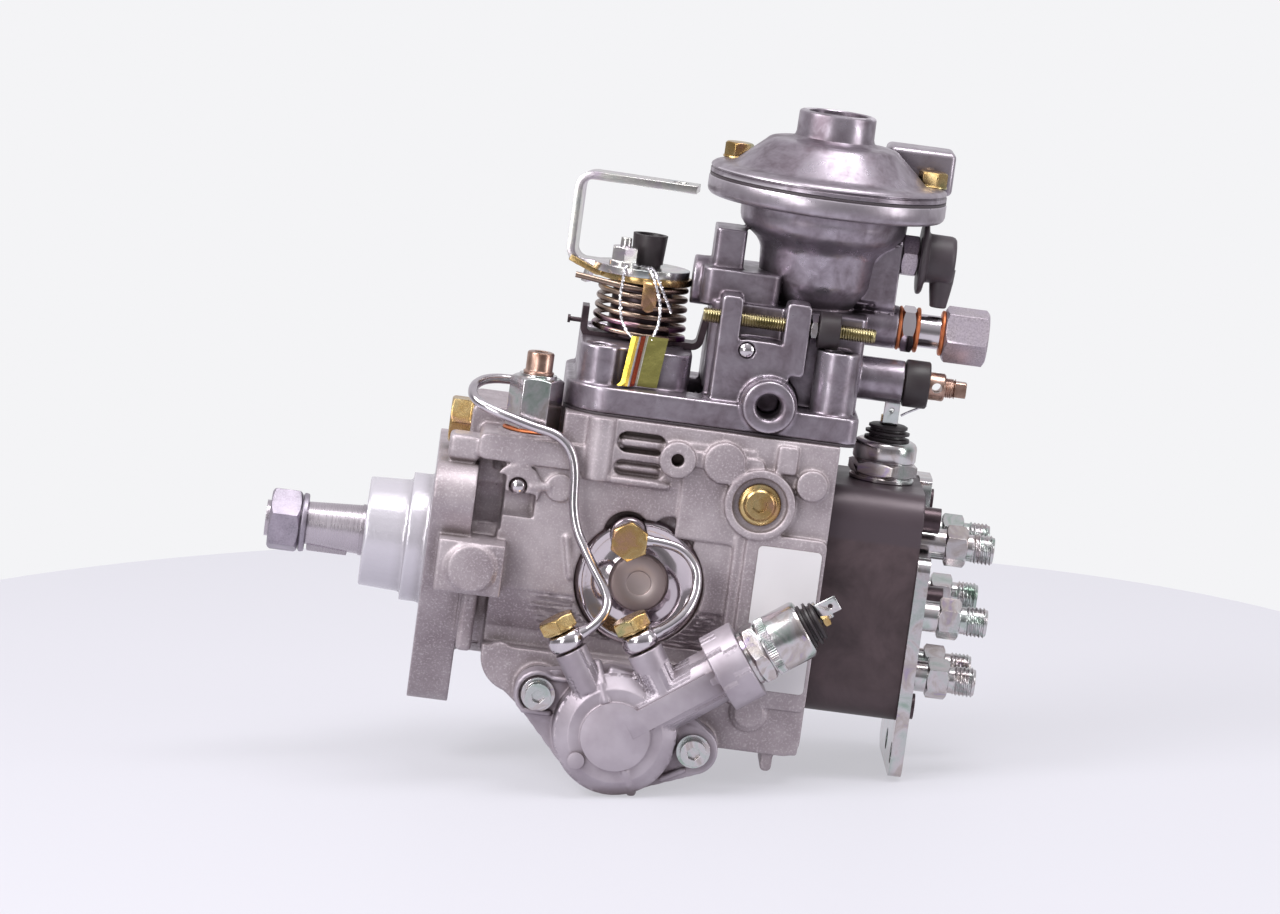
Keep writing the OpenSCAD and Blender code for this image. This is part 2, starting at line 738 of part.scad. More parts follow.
module shutoff_solenoid() {
    color(clear_zinc) translate([shutoff_x, 0, 0]) difference() {
        union() {
            bar_z(head_top - 9, head_top, 9);
            bar_z(head_top, head_top + 2, 12.5);
            hex_z(head_top + 2, head_top + 8, 24);
            bar_z(head_top + 8, head_top + 14, shutoff_can_r);
            bar_z(head_top + 14, head_top + 16, shutoff_can_r, shutoff_can_r - 1.6);
        }
        bar_z(head_top - 10, head_top + 8.5 + shutoff_travel, armature_r + run_fit);
    }
}

// Insulators, flag terminals and nuts of the two solenoids
module terminals() {
    color(black) {
        translate([shutoff_x, 0, head_top + 16]) terminal_set(8.4, 5.5);
        on_solenoid() translate([0, 0, solenoid_rim + can_l]) terminal_set(8.8, 6);
    }
}

module terminal_set(r, h) {
    difference() {
        union() {
            bar_z(0, h, r - 1.4);
            bar_z(1, 2.4, r);
            bar_z(3.6, 5, r - 0.4);
        }
        bar_z(-1, h + 1, 2);
    }
    bar_z(0, h + 7, 1.9);
    translate([-0.4, -3.2, h + rest_gap]) cube([0.8, 6.4, 9]);
}

// Plan of the governor cover, in X and Y; the left corners are big arcs
module cover_outline(inset) {
    left_r = 18;
    hw = cover_hw - inset;
    x0 = cover_x0 + inset;
    x1 = cover_x1 - inset;
    translate([x0 + left_r, -hw]) square([x1 - x0 - left_r - 6, 2 * hw]);
    translate([x0, -hw + left_r]) square([left_r + 1, 2 * hw - 2 * left_r]);
    for (s = [-1, 1]) {
        translate([x0 + left_r, s * (hw - left_r)]) circle(left_r);
        translate([x1 - 6, s * (hw - 6)]) circle(6);
    }
    translate([x1 - 7, -hw + 6]) square([7, 2 * hw - 12]);
}

// Profile of the boost bowl, in radius and Z
module bowl_profile() {
    shoulder = 6;
    polygon([[0, body_z - 4], [13, body_z - 4], [21.5, neck_top_z - 12], [22.5, neck_top_z],
        [bowl_r - shoulder, neck_top_z + 5], [bowl_r - 1.6, neck_top_z + 8], [bowl_r, neck_top_z + 12],
        [bowl_r, flange_under], [boost_r - 2, flange_under], [boost_r, flange_under + 2],
        [boost_r, boost_z], [0, boost_z]]);
}

module governor_cover() {
    color(diecast) difference() {
        union() {
            along_z(cover_z, edge_z) cover_outline(0);
            along_z(edge_z - 1, throttle_boss_z) rounded([48.5, -35], [69, 20], 5);
            along_z(edge_z - 1, throttle_boss_z - 1) rounded([60, -29], [92, 31], 9);
            translate([throttle_x, 0, 0]) bar_z(edge_z, throttle_boss_z, 19.5);
            along_z(edge_z - 1, body_z) rounded([97, upper_y], [cover_x1 - 1, 28], 3);
            along_z(body_z - 2, upper_z) rounded([92, upper_y + 2], [122, 22], 4);
            along_z(upper_z - 1, upper_z + 15) rounded([95, upper_y + 8], [107, 8], 2);
            translate([boost_x, 0, 0]) rotate_extrude() bowl_profile();
            along_y(stop_screw_y - 5, upper_y + 2) {
                rounded([100, edge_z - 2], [108, stop_screw_z + 9], 2);
                rounded([125, 86], [134.5, stop_screw_z + 9], 2);
                rounded([104, edge_z - 2], [129, 98], 8);
            }
            translate([side_bore[0], 0, side_bore[1]]) {
                bar_y(-46, upper_y, 10);
                bar_y(-42.5, upper_y, side_bore[1] - cover_z);
            }
            for (p = cover_screw_places) translate([p[0], p[1], 0]) bar_z(cover_z, column_top(p), 8.4);
            translate([throttle_x + hub_r + 1, -4, 115]) bar_x(0, 12, 9.5);
            translate([0, 0, union_z]) bar_x(boost_x + 12, union_x, 8.4);
            translate([0, -8, full_load_z]) bar_x(boost_x + 12, full_load_x, 8.4);
            along_x(boost_x + 12, vent_x) rounded([-9, 112], [9, 142], 4);
        }
        along_z(cover_z - 1, 76) rounded([52, -22], [cover_x1 - 27, 22], 6);
        translate([throttle_x, 0, 0]) bar_z(cover_z, throttle_boss_z + 1, throttle_r + run_fit);
        for (p = cover_screw_places) translate([p[0], p[1], 0]) {
            bar_z(cover_z - 1, column_top(p) + 1, 3.2);
            bar_z(bolt_seat(p), column_top(p) + 1, 5.6);
        }
        translate([side_bore[0], 0, side_bore[1]]) {
            bar_y(-47, -26, side_bore_r);
            bar_y(-47, -44.4, 6.6, 4.7);
        }
        translate([0, stop_screw_y, stop_screw_z]) bar_x(90, 145, stop_screw_r);
        translate([111.6, 0, 94]) bar_y(-60, stop_screw_y - 0.8, 3.1);
        translate([boost_x, 0, 0]) {
            bar_z(body_z - 12, boost_z, boost_pin_r + run_fit);
            bar_z(boost_z - 33, boost_z, 14);
            bar_z(boost_z - 10 - boost_travel, boost_z + 1, bowl_r - 3);
        }
        translate([union_x, 0, union_z]) bar_x(-12, 1, 5);
        translate([full_load_x, -8, full_load_z]) bar_x(-16.7, 1.3, 3.9);
        translate([0, 0, vent_z]) bar_x(vent_x - 15.4, vent_x + 0.6, 4);
        for (a = boost_screw_angles) boost_screw_place(a) bar_z(flange_under - 1, boost_z + 1, 2.4);
    }
}

// Heights of the cover's screw columns and of the bolt seats in them
function column_top(p) = p[0] > 100 ? 97.5 : throttle_boss_z;
function bolt_seat(p) = column_top(p) - 7;

module boost_screw_place(a) {
    translate([boost_x, 0, 0]) rotate(a) translate([boost_screw_pcr, 0, 0]) children();
}

// Socket bolts of the governor cover and of both timing covers
module cover_bolts() {
    color(clear_zinc) {
        for (p = cover_screw_places) translate([p[0], p[1], 0]) difference() {
            union() {
                bar_z(deck_z - 12, bolt_seat(p) + 1, 3);
                bar_z(bolt_seat(p), bolt_seat(p) + 6, 5);
            }
            translate([0, 0, bolt_seat(p) + 3]) cylinder(h = 5, r = 2.9, $fn = 6);
        }
        at_timing_bolts() {
            timing_bolt(timing_flange_t);
            mirror([0, 1, 0]) timing_bolt(far_cover_t);
        }
    }
}

module timing_bolt(depth) {
    translate([0, -timing_seat_y - gasket_t - depth, 0]) difference() {
        union() {
            bar_y(0, depth + 12, 3);
            bar_y(-1.6, 0, 6.5);
            bar_y(-1.6 - bolt_head_t, -1.6, bolt_head_r);
        }
        translate([0, -2 - bolt_head_t, 0]) rotate([-90, 0, 0]) cylinder(h = 3, r = 2.6, $fn = 6);
    }
}

module boost_cover() {
    color(diecast) difference() {
        union() {
            translate([boost_x, 0, diaphragm_top]) rotate_extrude()
                polygon([[0, 0], [boost_r, 0], [boost_r, 3.2], [boost_r - 2, 4.6], [38, 5], [26, 16], [24, 16.8],
                    [16.6, 17.4], [15.2, 19], [15, boost_cover_h - 1], [14, boost_cover_h], [0, boost_cover_h]]);
            along_x(boost_x + 20, boost_x + 48.5) rounded([boost_port[0] - 11, diaphragm_top + 0.6], [boost_port[0] + 11, diaphragm_top + 18], 4);
        }
        translate([boost_x, 0, diaphragm_top]) rotate_extrude()
            polygon([[0, -1], [30, -1], [30, 6], [21, 13], [0, 13]]);
        translate([boost_x, 0, diaphragm_top + boost_cover_h]) bar_z(-1.5, 1, 11.5);
        translate([0, boost_port[0], boost_port[1]]) bar_x(boost_x + 32, boost_x + 49.5, 5.2);
        for (a = boost_screw_angles) boost_screw_place(a) {
            bar_z(diaphragm_top - 1, diaphragm_top + 9, 2.4);
            bar_z(boost_screw_seat, diaphragm_top + 20, 6.6);
        }
    }
}

module boost_diaphragm() {
    color(black) translate([boost_x, 0, 0]) difference() {
        bar_z(boost_z, diaphragm_top, boost_r);
        bar_z(boost_z - 1, diaphragm_top + 1, pin_plate_r + rest_gap);
        for (a = boost_screw_angles) rotate(a) translate([boost_screw_pcr, 0, 0]) bar_z(boost_z - 1, diaphragm_top + 1, 2.4);
    }
}

module boost_cover_screws() {
    color(gold_zinc) for (a = boost_screw_angles) boost_screw_place(a) {
        bar_z(flange_under, boost_screw_seat, 2.3);
        bar_z(boost_screw_seat, boost_screw_seat + 1.2, 6);
        hex_z(boost_screw_seat + 1.1, boost_screw_seat + 6.2, 10);
    }
}

module boost_spring() {
    color(steel) translate([boost_x, 0, 0]) spring_z(11, 1, 5, boost_z - 31.6, boost_z - 5.6);
}

// Boost pin with the plates that clamp the diaphragm; drawn at the top of its travel
module boost_pin() {
    color(steel) translate([boost_x, 0, 0]) {
        bar_z(body_z - 5, boost_z - 4, boost_pin_r);
        bar_z(boost_z - 4.2, boost_z - rest_gap, pin_plate_r);
        bar_z(boost_z - 1, diaphragm_top + 4, 6);
        bar_z(diaphragm_top + rest_gap, diaphragm_top + 2.5, pin_plate_r);
    }
}

module vent_adaptor() {
    color(clear_zinc) translate([vent_x, 0, vent_z]) {
        bar_x(-13.4, 0.1, 4);
        translate([0.1, 0, 0]) rotate([0, 90, 0]) hex_z(0, 6.6, 15);
        bar_x(6.6, 15.6, 3);
    }
}

module vent_boot() {
    color(black) translate([vent_x, 0, vent_z]) difference() {
        union() {
            bar_x(7.1, 9.6, 14.5, 13.5);
            bar_x(9.1, 21.1, 9.5);
            translate([17.1, 0, 0]) bar_z(-18.6, -5, 3, 4.6);
        }
        bar_x(6.6, 15.9, 3);
        translate([17.1, 0, 0]) bar_z(-20, -12, 1.4);
    }
}

module return_union() {
    color(clear_zinc) translate([union_x, 0, union_z]) difference() {
        union() {
            bar_x(-11.5, 1.2, 5);
            translate([1.2, 0, 0]) rotate([0, 90, 0]) hex_z(0, 5.6, 16);
            bar_x(1.2, 20, 5);
            bar_x(8.3, 16.7, 6.5);
            translate([18.1, 0, 0]) rotate([0, 90, 0]) rotate(30) hex_z(0, 17, 19);
        }
        bar_x(-13, 28, 2.5);
        bar_x(23, 36, 6.4);
    }
}

module copper_washers() {
    color([0.72, 0.38, 0.2]) {
        translate([union_x, 0, union_z]) {
            tube_x(0, 1.2, 8.6, 5);
            tube_x(6.9, 8.3, 8.8, 5);
            tube_x(16.7, 18.1, 8.8, 5);
        }
        translate([valve_x, valve_y, 0]) difference() {
            bar_z(valve_z - 1, valve_z, 11);
            bar_z(valve_z - 2, valve_z + 1, 7);
        }
    }
}

module full_load_screw() {
    color(gold_zinc) translate([full_load_x, -8, full_load_z]) difference() {
        union() {
            bar_x(-15.7, 1.3, 3.9);
            bar_x(0.3, 16.3, 5.5);
            bar_x(16.3, 24.5, 4);
        }
        translate([13, 0, 0]) bar_y(-7, 7, 2);
        translate([19.9, 3, -5]) cube([6, 3, 10]);
        translate([19.9, -6, -5]) cube([6, 3, 10]);
    }
}

module tamper_sleeves() {
    color(black) {
        translate([full_load_x, -8, full_load_z]) tube_x(0.3, 9.9, 9.2, 5.5);
        translate([0, stop_screw_y, stop_screw_z]) tube_x(138, 146.2, 7.2, stop_screw_r);
    }
}

module stop_screw() {
    color(gold_zinc) translate([0, stop_screw_y, stop_screw_z]) {
        bar_x(93.5, 160, stop_screw_r);
        translate([134.9, 0, 0]) rotate([0, 90, 0]) hex_z(0, 2.8, 10);
    }
}

module pressure_valve() {
    color(clear_zinc) translate([valve_x, valve_y, 0]) difference() {
        union() {
            bar_z(valve_z - 9, valve_z + 1, 7);
            rotate(30) hex_z(valve_z, valve_z + 20, 18);
            bar_z(valve_z + 19, valve_z + 21, 7);
        }
        bar_z(valve_z - 10, valve_z + 22, 4);
    }
}

module pressure_valve_screw() {
    color([0.75, 0.5, 0.32]) translate([valve_x, valve_y, valve_z + 21]) difference() {
        union() {
            bar_z(-14, 0, 4);
            bar_z(0, 1.2, 5.9);
            bar_z(1.2, 8.6, 5.2);
        }
        translate([0, 0, 5]) cylinder(h = 5, r = 2.9, $fn = 6);
    }
}

// Inlet plug on the front block and the plug in the round recess
module housing_plugs() {
    color(gold_zinc) {
        translate([0, -4, 48.6]) {
            bar_x(10, 20, 5);
            translate([2.6, 0, 0]) rotate([0, 90, 0]) hex_z(0, 8.1, 17);
        }
        translate([plug_x, 0, plug_z]) {
            bar_y(-housing_hw - 1, -housing_hw + 7, 5);
            bar_y(-housing_hw - 4.4, -housing_hw - 1, 7);
        }
    }
}

module ball_plugs() {
    color(steel) {
        translate([31.7, -housing_hw + 1.6, 31.7]) sphere(3.5);
        translate([111.6, stop_screw_y - 4, 94]) sphere(3);
    }
}

module label() {
    color("white") along_y(-housing_hw - label_out - 0.3, -housing_hw - label_out)
        rounded([label_x, -34], [housing_end - 1.5, 21.5], 1.5);
}

// Pressed dish that closes the inspection hole in the near wall
module side_cover() {
    color(clear_zinc) translate([side_x, -housing_hw + side_d, 0]) difference() {
        union() {
            bar_y(-3, 0, side_r - 0.4);
            bar_y(-5, 0, 10.5);
            translate([third_eye[0] - side_x, 0, third_eye[2]]) bar_y(third_eye[1] + housing_hw - side_d, -1, 7.2);
        }
        translate([third_eye[0] - side_x, 0, third_eye[2]]) bar_y(-13, -4.4, 3);
        difference() {
            bar_y(-4, -1.4, side_r - 2.4);
            bar_y(-5, 0, 11);
            translate([third_eye[0] - side_x, 0, third_eye[2]]) bar_y(-6, 0, 8.6);
        }
    }
}

module timing_cover() {
    color([0.72, 0.7, 0.73]) difference() {
        union() {
            translate([0, -timing_seat_y - gasket_t - timing_flange_t, 0])
                along_y(0, timing_flange_t) timing_plate_outline(timing_cover_r);
            translate([timing_x, 0, timing_z]) rotate([90, 0, 0]) {
                bar_z(timing_seat_y + 3, timing_seat_y + timing_cover_d - 5, timing_cover_r - 0.5);
                bar_z(timing_seat_y + timing_cover_d - 5, timing_seat_y + timing_cover_d - 0.6, timing_cover_r - 0.5, 18);
                bar_z(timing_seat_y + timing_cover_d - 1, timing_seat_y + timing_cover_d, 13.2);
            }
            along_y(timing_face_y + 1, timing_face_y + 12) translate([timing_x, timing_z + solenoid_lift])
                rotate(solenoid_angle) translate([0, -4.5]) square([solenoid_rim - 8, 9]);
            on_solenoid() {
                bar_z(12, solenoid_rim - rim_cup_t, 11);
                bar_z(solenoid_rim - rim_cup_t, solenoid_rim, solenoid_boss_r);
            }
            for (i = [0, 1]) banjo_seat(i) bar_z(-17, 0, banjo_boss_r[i]);
        }
        translate([timing_x, 0, timing_z]) bar_y(-timing_seat_y - 14, -timing_seat_y, timing_bore_r);
        at_timing_bolts() {
            bar_y(-80, -40, 3.2);
            bar_y(-80, -timing_seat_y - gasket_t - timing_flange_t + 0.15, 8);
        }
        on_solenoid() bar_z(solenoid_rim - 22, solenoid_rim + 1, 9.6);
        for (i = [0, 1]) banjo_seat(i) bar_z(-9, 1, 3);
    }
}

// Seats of the two banjo fittings on the timing cover, leaning towards the drive end
module banjo_seat(i) {
    translate([banjo_eyes[i][0], banjo_y, banjo_eyes[i][1]]) rotate([0, banjo_lean, 0])
        translate([0, 0, -eye_seat]) children();
}

// Seat of the third banjo fitting, on the side cover
module third_seat() {
    translate(third_eye) rotate([90, 0, 0]) children();
}

module timing_cover_far() {
    color([0.72, 0.7, 0.73]) difference() {
        translate([0, timing_seat_y + gasket_t, 0]) union() {
            along_y(0, far_cover_t) timing_plate_outline(far_cover_r);
            translate([timing_x, 0, timing_z]) bar_y(1, far_cover_t + 5, far_cover_r - 0.6, far_cover_r - 3);
        }
        translate([timing_x, 0, timing_z]) bar_y(timing_seat_y, timing_seat_y + 10, timing_bore_r);
        at_timing_bolts() bar_y(40, 80, 3.2);
    }
}

module timing_spring() {
    color(steel) translate([timing_x, 0, timing_z]) rotate([-90, 0, 0])
        spring_z(8.6, 1.2, 6, piston_y + piston_l - piston_cup + 1.5, timing_seat_y + 8.4);
}

module timing_solenoid() {
    color(clear_zinc) on_solenoid() difference() {
        union() {
            bar_z(solenoid_rim - 20, solenoid_rim, 9.5);
            bar_z(solenoid_rim, solenoid_rim + 2, 11);
            hex_z(solenoid_rim + 1.5, solenoid_rim + 8, 22);
            bar_z(solenoid_rim + 7.5, solenoid_rim + 10, 10.6);
            bar_z(solenoid_rim + 9.5, solenoid_rim + can_l - 1, timing_can_r);
            bar_z(solenoid_rim + can_l - 1, solenoid_rim + can_l, timing_can_r, timing_can_r - 1);
        }
        bar_z(solenoid_rim - 21, solenoid_rim - 10, 3);
    }
}

module banjo_bolts() {
    color(gold_zinc) {
        for (i = [0, 1]) banjo_seat(i) banjo_bolt(-8);
        third_seat() banjo_bolt(-7);
    }
}

module banjo_bolt(foot) {
    bar_z(foot, eye_t + 1, 2.8);
    bar_z(eye_t + 0.7, eye_t + 1.4, 6.4);
    hex_z(eye_t + 1.3, eye_t + 6.6, 13.4);
}

// Both pipes, each brazed into the round eyes of its banjo fittings
module bypass_pipes() {
    color(clear_zinc) {
        bypass_pipe([[37, -15, 62.9], [36.5, -15.8, 65.4], [34, -17.6, 67.4], [29.5, -19.8, 69], [24, -22, 69],
            [18.5, -24.5, 69], [14, -28, 68.4], [11, -32.5, 67], [10, -37, 65.4], [10.6, -41.5, 63.4], [14, -45, 61.2],
            [21, -47.4, 59], [33, -48.6, 56], [42, -49.4, 54.2], [47.4, -50, 51.2], [50.6, -50.6, 46.6],
            [52.4, -51.2, 40], [53.6, -52, 28], [56, -53.4, 19.4], [60, -55.4, 12.4], [64.6, -57.8, 5.6],
            [68.6, -60.6, 0], [70.8, -63, -4.6], [70.6, -65, -8.6], [68.6, -66.8, -12.4], [65.2, -67.8, -16],
            [61, -68, -18.9]]);
        bypass_pipe([[88.8, -68, -15.2], [92.6, -67.8, -12.8], [96.8, -66.6, -9.6], [100.6, -64.4, -5.4],
            [103.2, -61.4, -0.4], [104, -58.6, 5], [102.8, -56.6, 10.6], [99.4, -55.4, 15], [94.6, -54.8, 17.6],
            [88, third_eye[1] - 4.1, 18.6],
            [80.8, third_eye[1] - 4.1, 18.6]]);
        for (i = [0, 1]) banjo_seat(i) banjo_eye();
        third_seat() banjo_eye();
    }
}

module bypass_pipe(path) {
    sweep(path, pipe_r, [0, 0.3, 1], 8);
}

module banjo_eye() {
    difference() {
        union() {
            bar_z(0.4, eye_t + 0.4, 6.2);
            bar_z(1.6, eye_t - 0.8, 7);
        }
        bar_z(-1, eye_t + 2, 2.9);
    }
}

module tamper_seal() {
    color(gold_zinc) translate([70.6, -31.7, 75.4]) rotate([0, 8, 0]) cube([9.5, 2.4, 20]);
}

// Two plunger springs and the bridge that passes their force to the plunger's foot
module plunger_springs() {
    color(steel) {
        for (s = [-1, 1]) translate([0, s * spring_y, 0]) rotate([0, 90, 0])
            spring_z(6.2, 0.9, 7, spring_seat_x + 1.2, housing_end + 4.6);
        difference() {
            along_x(bridge_x, bridge_x + bridge_t) rounded([-27, -8], [27, 8], 7);
            bar_x(bridge_x - 1, bridge_x + bridge_t + 1, plunger_r + rest_gap);
        }
    }
}

module lever_return_spring() {
    color([0.45, 0.33, 0.25]) translate([throttle_x, 0, 0])
        spring_z(return_spring_r - spring_wire, spring_wire, spring_turns, spring_z0, plate_z - spring_wire - rest_gap, 24);
}

module drive_shaft() {
    color(steel) difference() {
        union() {
            bar_x(shaft_end_x, taper_end_x + 1, thread_r);
            bar_x(taper_end_x, shaft_shoulder_x, taper_r, shaft_r - 0.4);
            bar_x(shaft_shoulder_x - eps, shaft_tail_x - 10, shaft_r);
            bar_x(shaft_tail_x - 12, shaft_tail_x, 14);
        }
        translate([key_x, -key_w / 2, -taper_r - 2]) key_slot();
        translate([shaft_tail_x - 7, -20, -4]) cube([8, 40, 8]);
    }
}

module key_slot() {
    translate([0, key_w, 2]) rotate([90, 0, 0]) cylinder(h = key_w, r = key_r);
}

module shaft_key() {
    color(steel) intersection() {
        translate([key_x, -key_w / 2 + 0.02, -taper_r - 2]) translate([0, key_w - 0.04, 2]) rotate([90, 0, 0])
            cylinder(h = key_w - 0.04, r = key_r - 0.02);
        translate([key_x - 10, -5, -taper_r - 2.2]) cube([20, 10, 10]);
    }
}

module shaft_nut() {
    color(clear_zinc) {
        difference() {
            translate([nut_x - shaft_nut_t, 0, 0]) rotate([0, 90, 0]) hex_z(0, shaft_nut_t, shaft_nut_af);
            bar_x(nut_x - shaft_nut_t - 1, nut_x + 1, thread_r);
        }
        tube_x(nut_x, nut_x + washer_t - 0.1, washer_r, thread_r + 0.4);
    }
}

module supply_pump_rotor() {
    color(steel) {
        difference() {
            bar_x(ring_x + rest_gap, ring_x + rest_gap + rotor_t, rotor_r);
            bar_x(ring_x, ring_x + ring_t, shaft_r);
            for (a = [0 : 90 : 270]) rotate([a, 0, 0]) translate([ring_x, -vane_t / 2, 11]) cube([ring_t, vane_t, 20]);
        }
        for (a = [0 : 90 : 270]) rotate([a, 0, 0])
            translate([ring_x + rest_gap, -vane_t / 2 + 0.02, 12]) cube([rotor_t, vane_t - 0.04, rotor_r - 12]);
    }
}

// Spur gear in Y and Z with straight-flanked teeth
module gear2d(teeth) {
    pitch_r = gear_module * teeth / 2;
    difference() {
        circle(pitch_r + gear_module * 0.95);
        for (i = [0 : teeth - 1]) rotate(i * 360 / teeth) translate([pitch_r, 0])
            polygon([[-1.35 * gear_module, -0.6 * gear_module], [-1.35 * gear_module, 0.6 * gear_module],
                [0, gear_module], [1.3 * gear_module, 1.4 * gear_module],
                [1.3 * gear_module, -1.4 * gear_module], [0, -gear_module]]);
    }
}

module drive_gear() {
    color(steel) difference() {
        along_x(drive_gear_x, drive_gear_x + drive_gear_t) rotate(90) gear2d(drive_teeth);
        bar_x(drive_gear_x - 1, drive_gear_x + drive_gear_t + 1, shaft_r);
    }
}

module flyweight_cage() {
    color(steel) translate([0, 0, gov_z]) {
        difference() {
            union() {
                along_x(drive_gear_x + 0.5, drive_gear_x + 0.5 + cage_gear_t)
                    rotate(-90 + 180 / cage_teeth) gear2d(cage_teeth);
                bar_x(drive_gear_x + cage_gear_t, cage_x + 3, cage_r - 4);
                for (a = [0 : 90 : 270]) rotate([a, 0, 0])
                    translate([cage_x, cage_r - 4, -3]) cube([cage_l - 1, 3.6, 6]);
                bar_x(cage_x, cage_x + 2.6, cage_r);
            }
            bar_x(drive_gear_x - 1, cage_x + cage_l + 1, gov_shaft_r + run_fit);
        }
        for (a = [45 : 90 : 315]) rotate([a, 0, 0]) {
            translate([cage_x + 3 + rest_gap, 8.4, -5]) cube([cage_l - 3 - rest_gap, 6, 10]);
            translate([cage_x + cage_l - 4, 5.2, -2.5]) cube([4, 4, 5]);
        }
    }
}

module governor_sleeve() {
    color(steel) translate([0, 0, gov_z]) difference() {
        union() {
            bar_x(sleeve_x, sleeve_x + sleeve_l - sleeve_tip, sleeve_r);
            bar_x(sleeve_x + sleeve_l - sleeve_tip, sleeve_x + sleeve_l, sleeve_r, 1.5);
        }
        bar_x(sleeve_x - 1, sleeve_x + sleeve_l - sleeve_tip - 1, gov_shaft_r + run_fit);
    }
}

// Lever pair: pivots in the housing walls, a pad against the sleeve and a ball in the control sleeve
module governor_levers() {
    color(steel) translate([lever_mid_x, 0, 0]) {
        difference() {
            translate([-lever_t2 / 2, -10, 16]) cube([lever_t2, 20, gov_spring_z + 4 - 16]);
            translate([-5, -4, 54]) cube([10, 8, 8]);
        }
        translate([0, 0, lever_pivot_z]) bar_y(-chamber_hw - 4, chamber_hw + 4, lever_pivot_r);
        bar_z(control_r - 1.5, 17, 2);
    }
}

module governor_spring() {
    color(steel) translate([0, 0, gov_spring_z]) rotate([0, 90, 0])
        spring_z(4, 0.8, 7, throttle_x + 9.5, lever_x - 1.2, 16);
}

module control_sleeve() {
    color(steel) difference() {
        bar_x(control_x, control_x + control_l, control_r);
        bar_x(control_x - 1, control_x + control_l + 1, plunger_r + run_fit);
        translate([lever_mid_x, 0, 0]) bar_z(control_r - 3, control_r + 2, 3);
    }
}

module cross_disc() {
    color(steel) translate([shaft_tail_x - 6.6, -13.6, -3.7]) cube([cross_l, 27.2, 7.4]);
}

module cam_plate() {
    color(steel) difference() {
        union() {
            bar_x(cam_plate_x, foot_x, cam_plate_r);
            intersection() {
                bar_x(lobe_x, cam_plate_x + 1, cam_plate_r - 1);
                for (i = [0 : outlets - 1]) rotate([60 * i + 30, 0, 0])
                    translate([cam_plate_x, 0, roller_pcr]) rotate([0, 90, 0]) cylinder(h = 2 * lobe_h, r1 = 7, r2 = 6, center = true);
            }
        }
        bar_x(lobe_x - 1, cam_plate_x, 16);
    }
    color(steel) difference() {
        bar_x(cam_hub_x, cam_plate_x, 14);
        translate([cam_hub_x - 1, -20, -4]) cube([shaft_tail_x - 6.3 + cross_l - cam_hub_x + 1, 40, 8]);
    }
}

module plunger() {
    color(steel) {
        bar_x(foot_x, plunger_end, plunger_r);
        bar_x(foot_x, foot_x + 2.5, 10);
    }
}

// Roller ring with its four rollers and the pin that the timing piston swings
module roller_ring() {
    color(steel) {
        difference() {
            union() {
                bar_x(roller_ring_x, roller_ring_x + roller_ring_t, roller_ring_r);
                translate([timing_x, 0, 0]) bar_z(-pin_reach, -20, timing_pin_r);
            }
            bar_x(roller_ring_x - 1, roller_ring_x + roller_ring_t + 1, 18);
            for (a = [45 : 90 : 315]) rotate([a, 0, 0]) translate([roller_x, 0, 0]) bar_z(20.5, 29.5, roller_r + 0.3);
        }
        for (a = [45 : 90 : 315]) rotate([a, 0, 0]) translate([roller_x, 0, 0]) bar_z(20.8, 29.2, roller_r);
    }
}

module timing_piston() {
    color(steel) translate([timing_x, 0, timing_z]) difference() {
        bar_y(piston_y, piston_y + piston_l, piston_r);
        bar_z(-6, 4, timing_pin_r + 1.1);
        bar_z(3, piston_r + 1, timing_pin_r + 3.3);
        bar_y(piston_y + piston_l - piston_cup, piston_y + piston_l + 1, 11);
        bar_y(piston_y - 1, piston_y + 6, 8);
    }
}

module throttle_shaft() {
    color(steel) translate([throttle_x, 0, 0]) {
        bar_z(gov_spring_z + 3, hub_z + lever_t + 3, throttle_r);
        bar_z(gov_spring_z + 1, gov_spring_z + 4, 9);
        translate([6.5, 0, 0]) bar_z(gov_spring_z - 4, gov_spring_z + 2, 1.8);
    }
}

module shaft_cap() {
    color(black) translate([throttle_x, 0, hub_z + lever_t]) difference() {
        bar_z(0, 11, 6.4);
        bar_z(-1, 3, throttle_r);
    }
}

// Bent strip lever on the throttle shaft, with its pinch nut
module throttle_lever() {
    color(clear_zinc) translate([throttle_x, 0, 0]) difference() {
        union() {
            bar_z(hub_z, hub_z + lever_t, hub_r);
            rotate(-8) {
                translate([-31, -lever_w / 2, hub_z]) cube([20, lever_w, lever_t]);
                translate([-31, -lever_w / 2, hub_z]) cube([lever_t, lever_w, lever_bow_h + 2]);
                translate([-31, -lever_w / 2, hub_z + lever_bow_h]) cube([47, lever_w, lever_t]);
                translate([9, 0, 0])
                    bar_z(hub_z + lever_bow_h - lever_pad_h, hub_z + lever_bow_h + lever_t + lever_pad_h, 6);
            }
            translate([-9.6, -10, hub_z + lever_t]) {
                hex_z(-1, 7, 9);
                bar_z(6, 11, 2.4);
            }
        }
        bar_z(hub_z - 1, hub_z + lever_t + 1, throttle_r);
        rotate(-8) translate([9, 0, 0]) bar_z(hub_z + lever_bow_h - 1, hub_z + lever_bow_h + lever_t + 1, 3.1);
    }
}

module spring_plate() {
    color(gold_zinc) translate([throttle_x, 0, 0]) {
        difference() {
            union() {
                bar_z(plate_z, hub_z, hub_r + 0.5);
                translate([-2, -return_spring_r - 2.6, plate_z]) cube([7, 8, plate_t2]);
                translate([-33, -5, plate_z]) cube([18, 6, plate_t2]);
            }
            bar_z(plate_z - 1, hub_z + 1, throttle_r);
        }
        translate([-1, -return_spring_r - 2.6, plate_z - 14]) cube([5, 2, 16]);
    }
}

module shutoff_armature() {
    color(steel) translate([shutoff_x, 0, 0]) bar_z(plunger_r + 3, head_top + 8, armature_r);
}

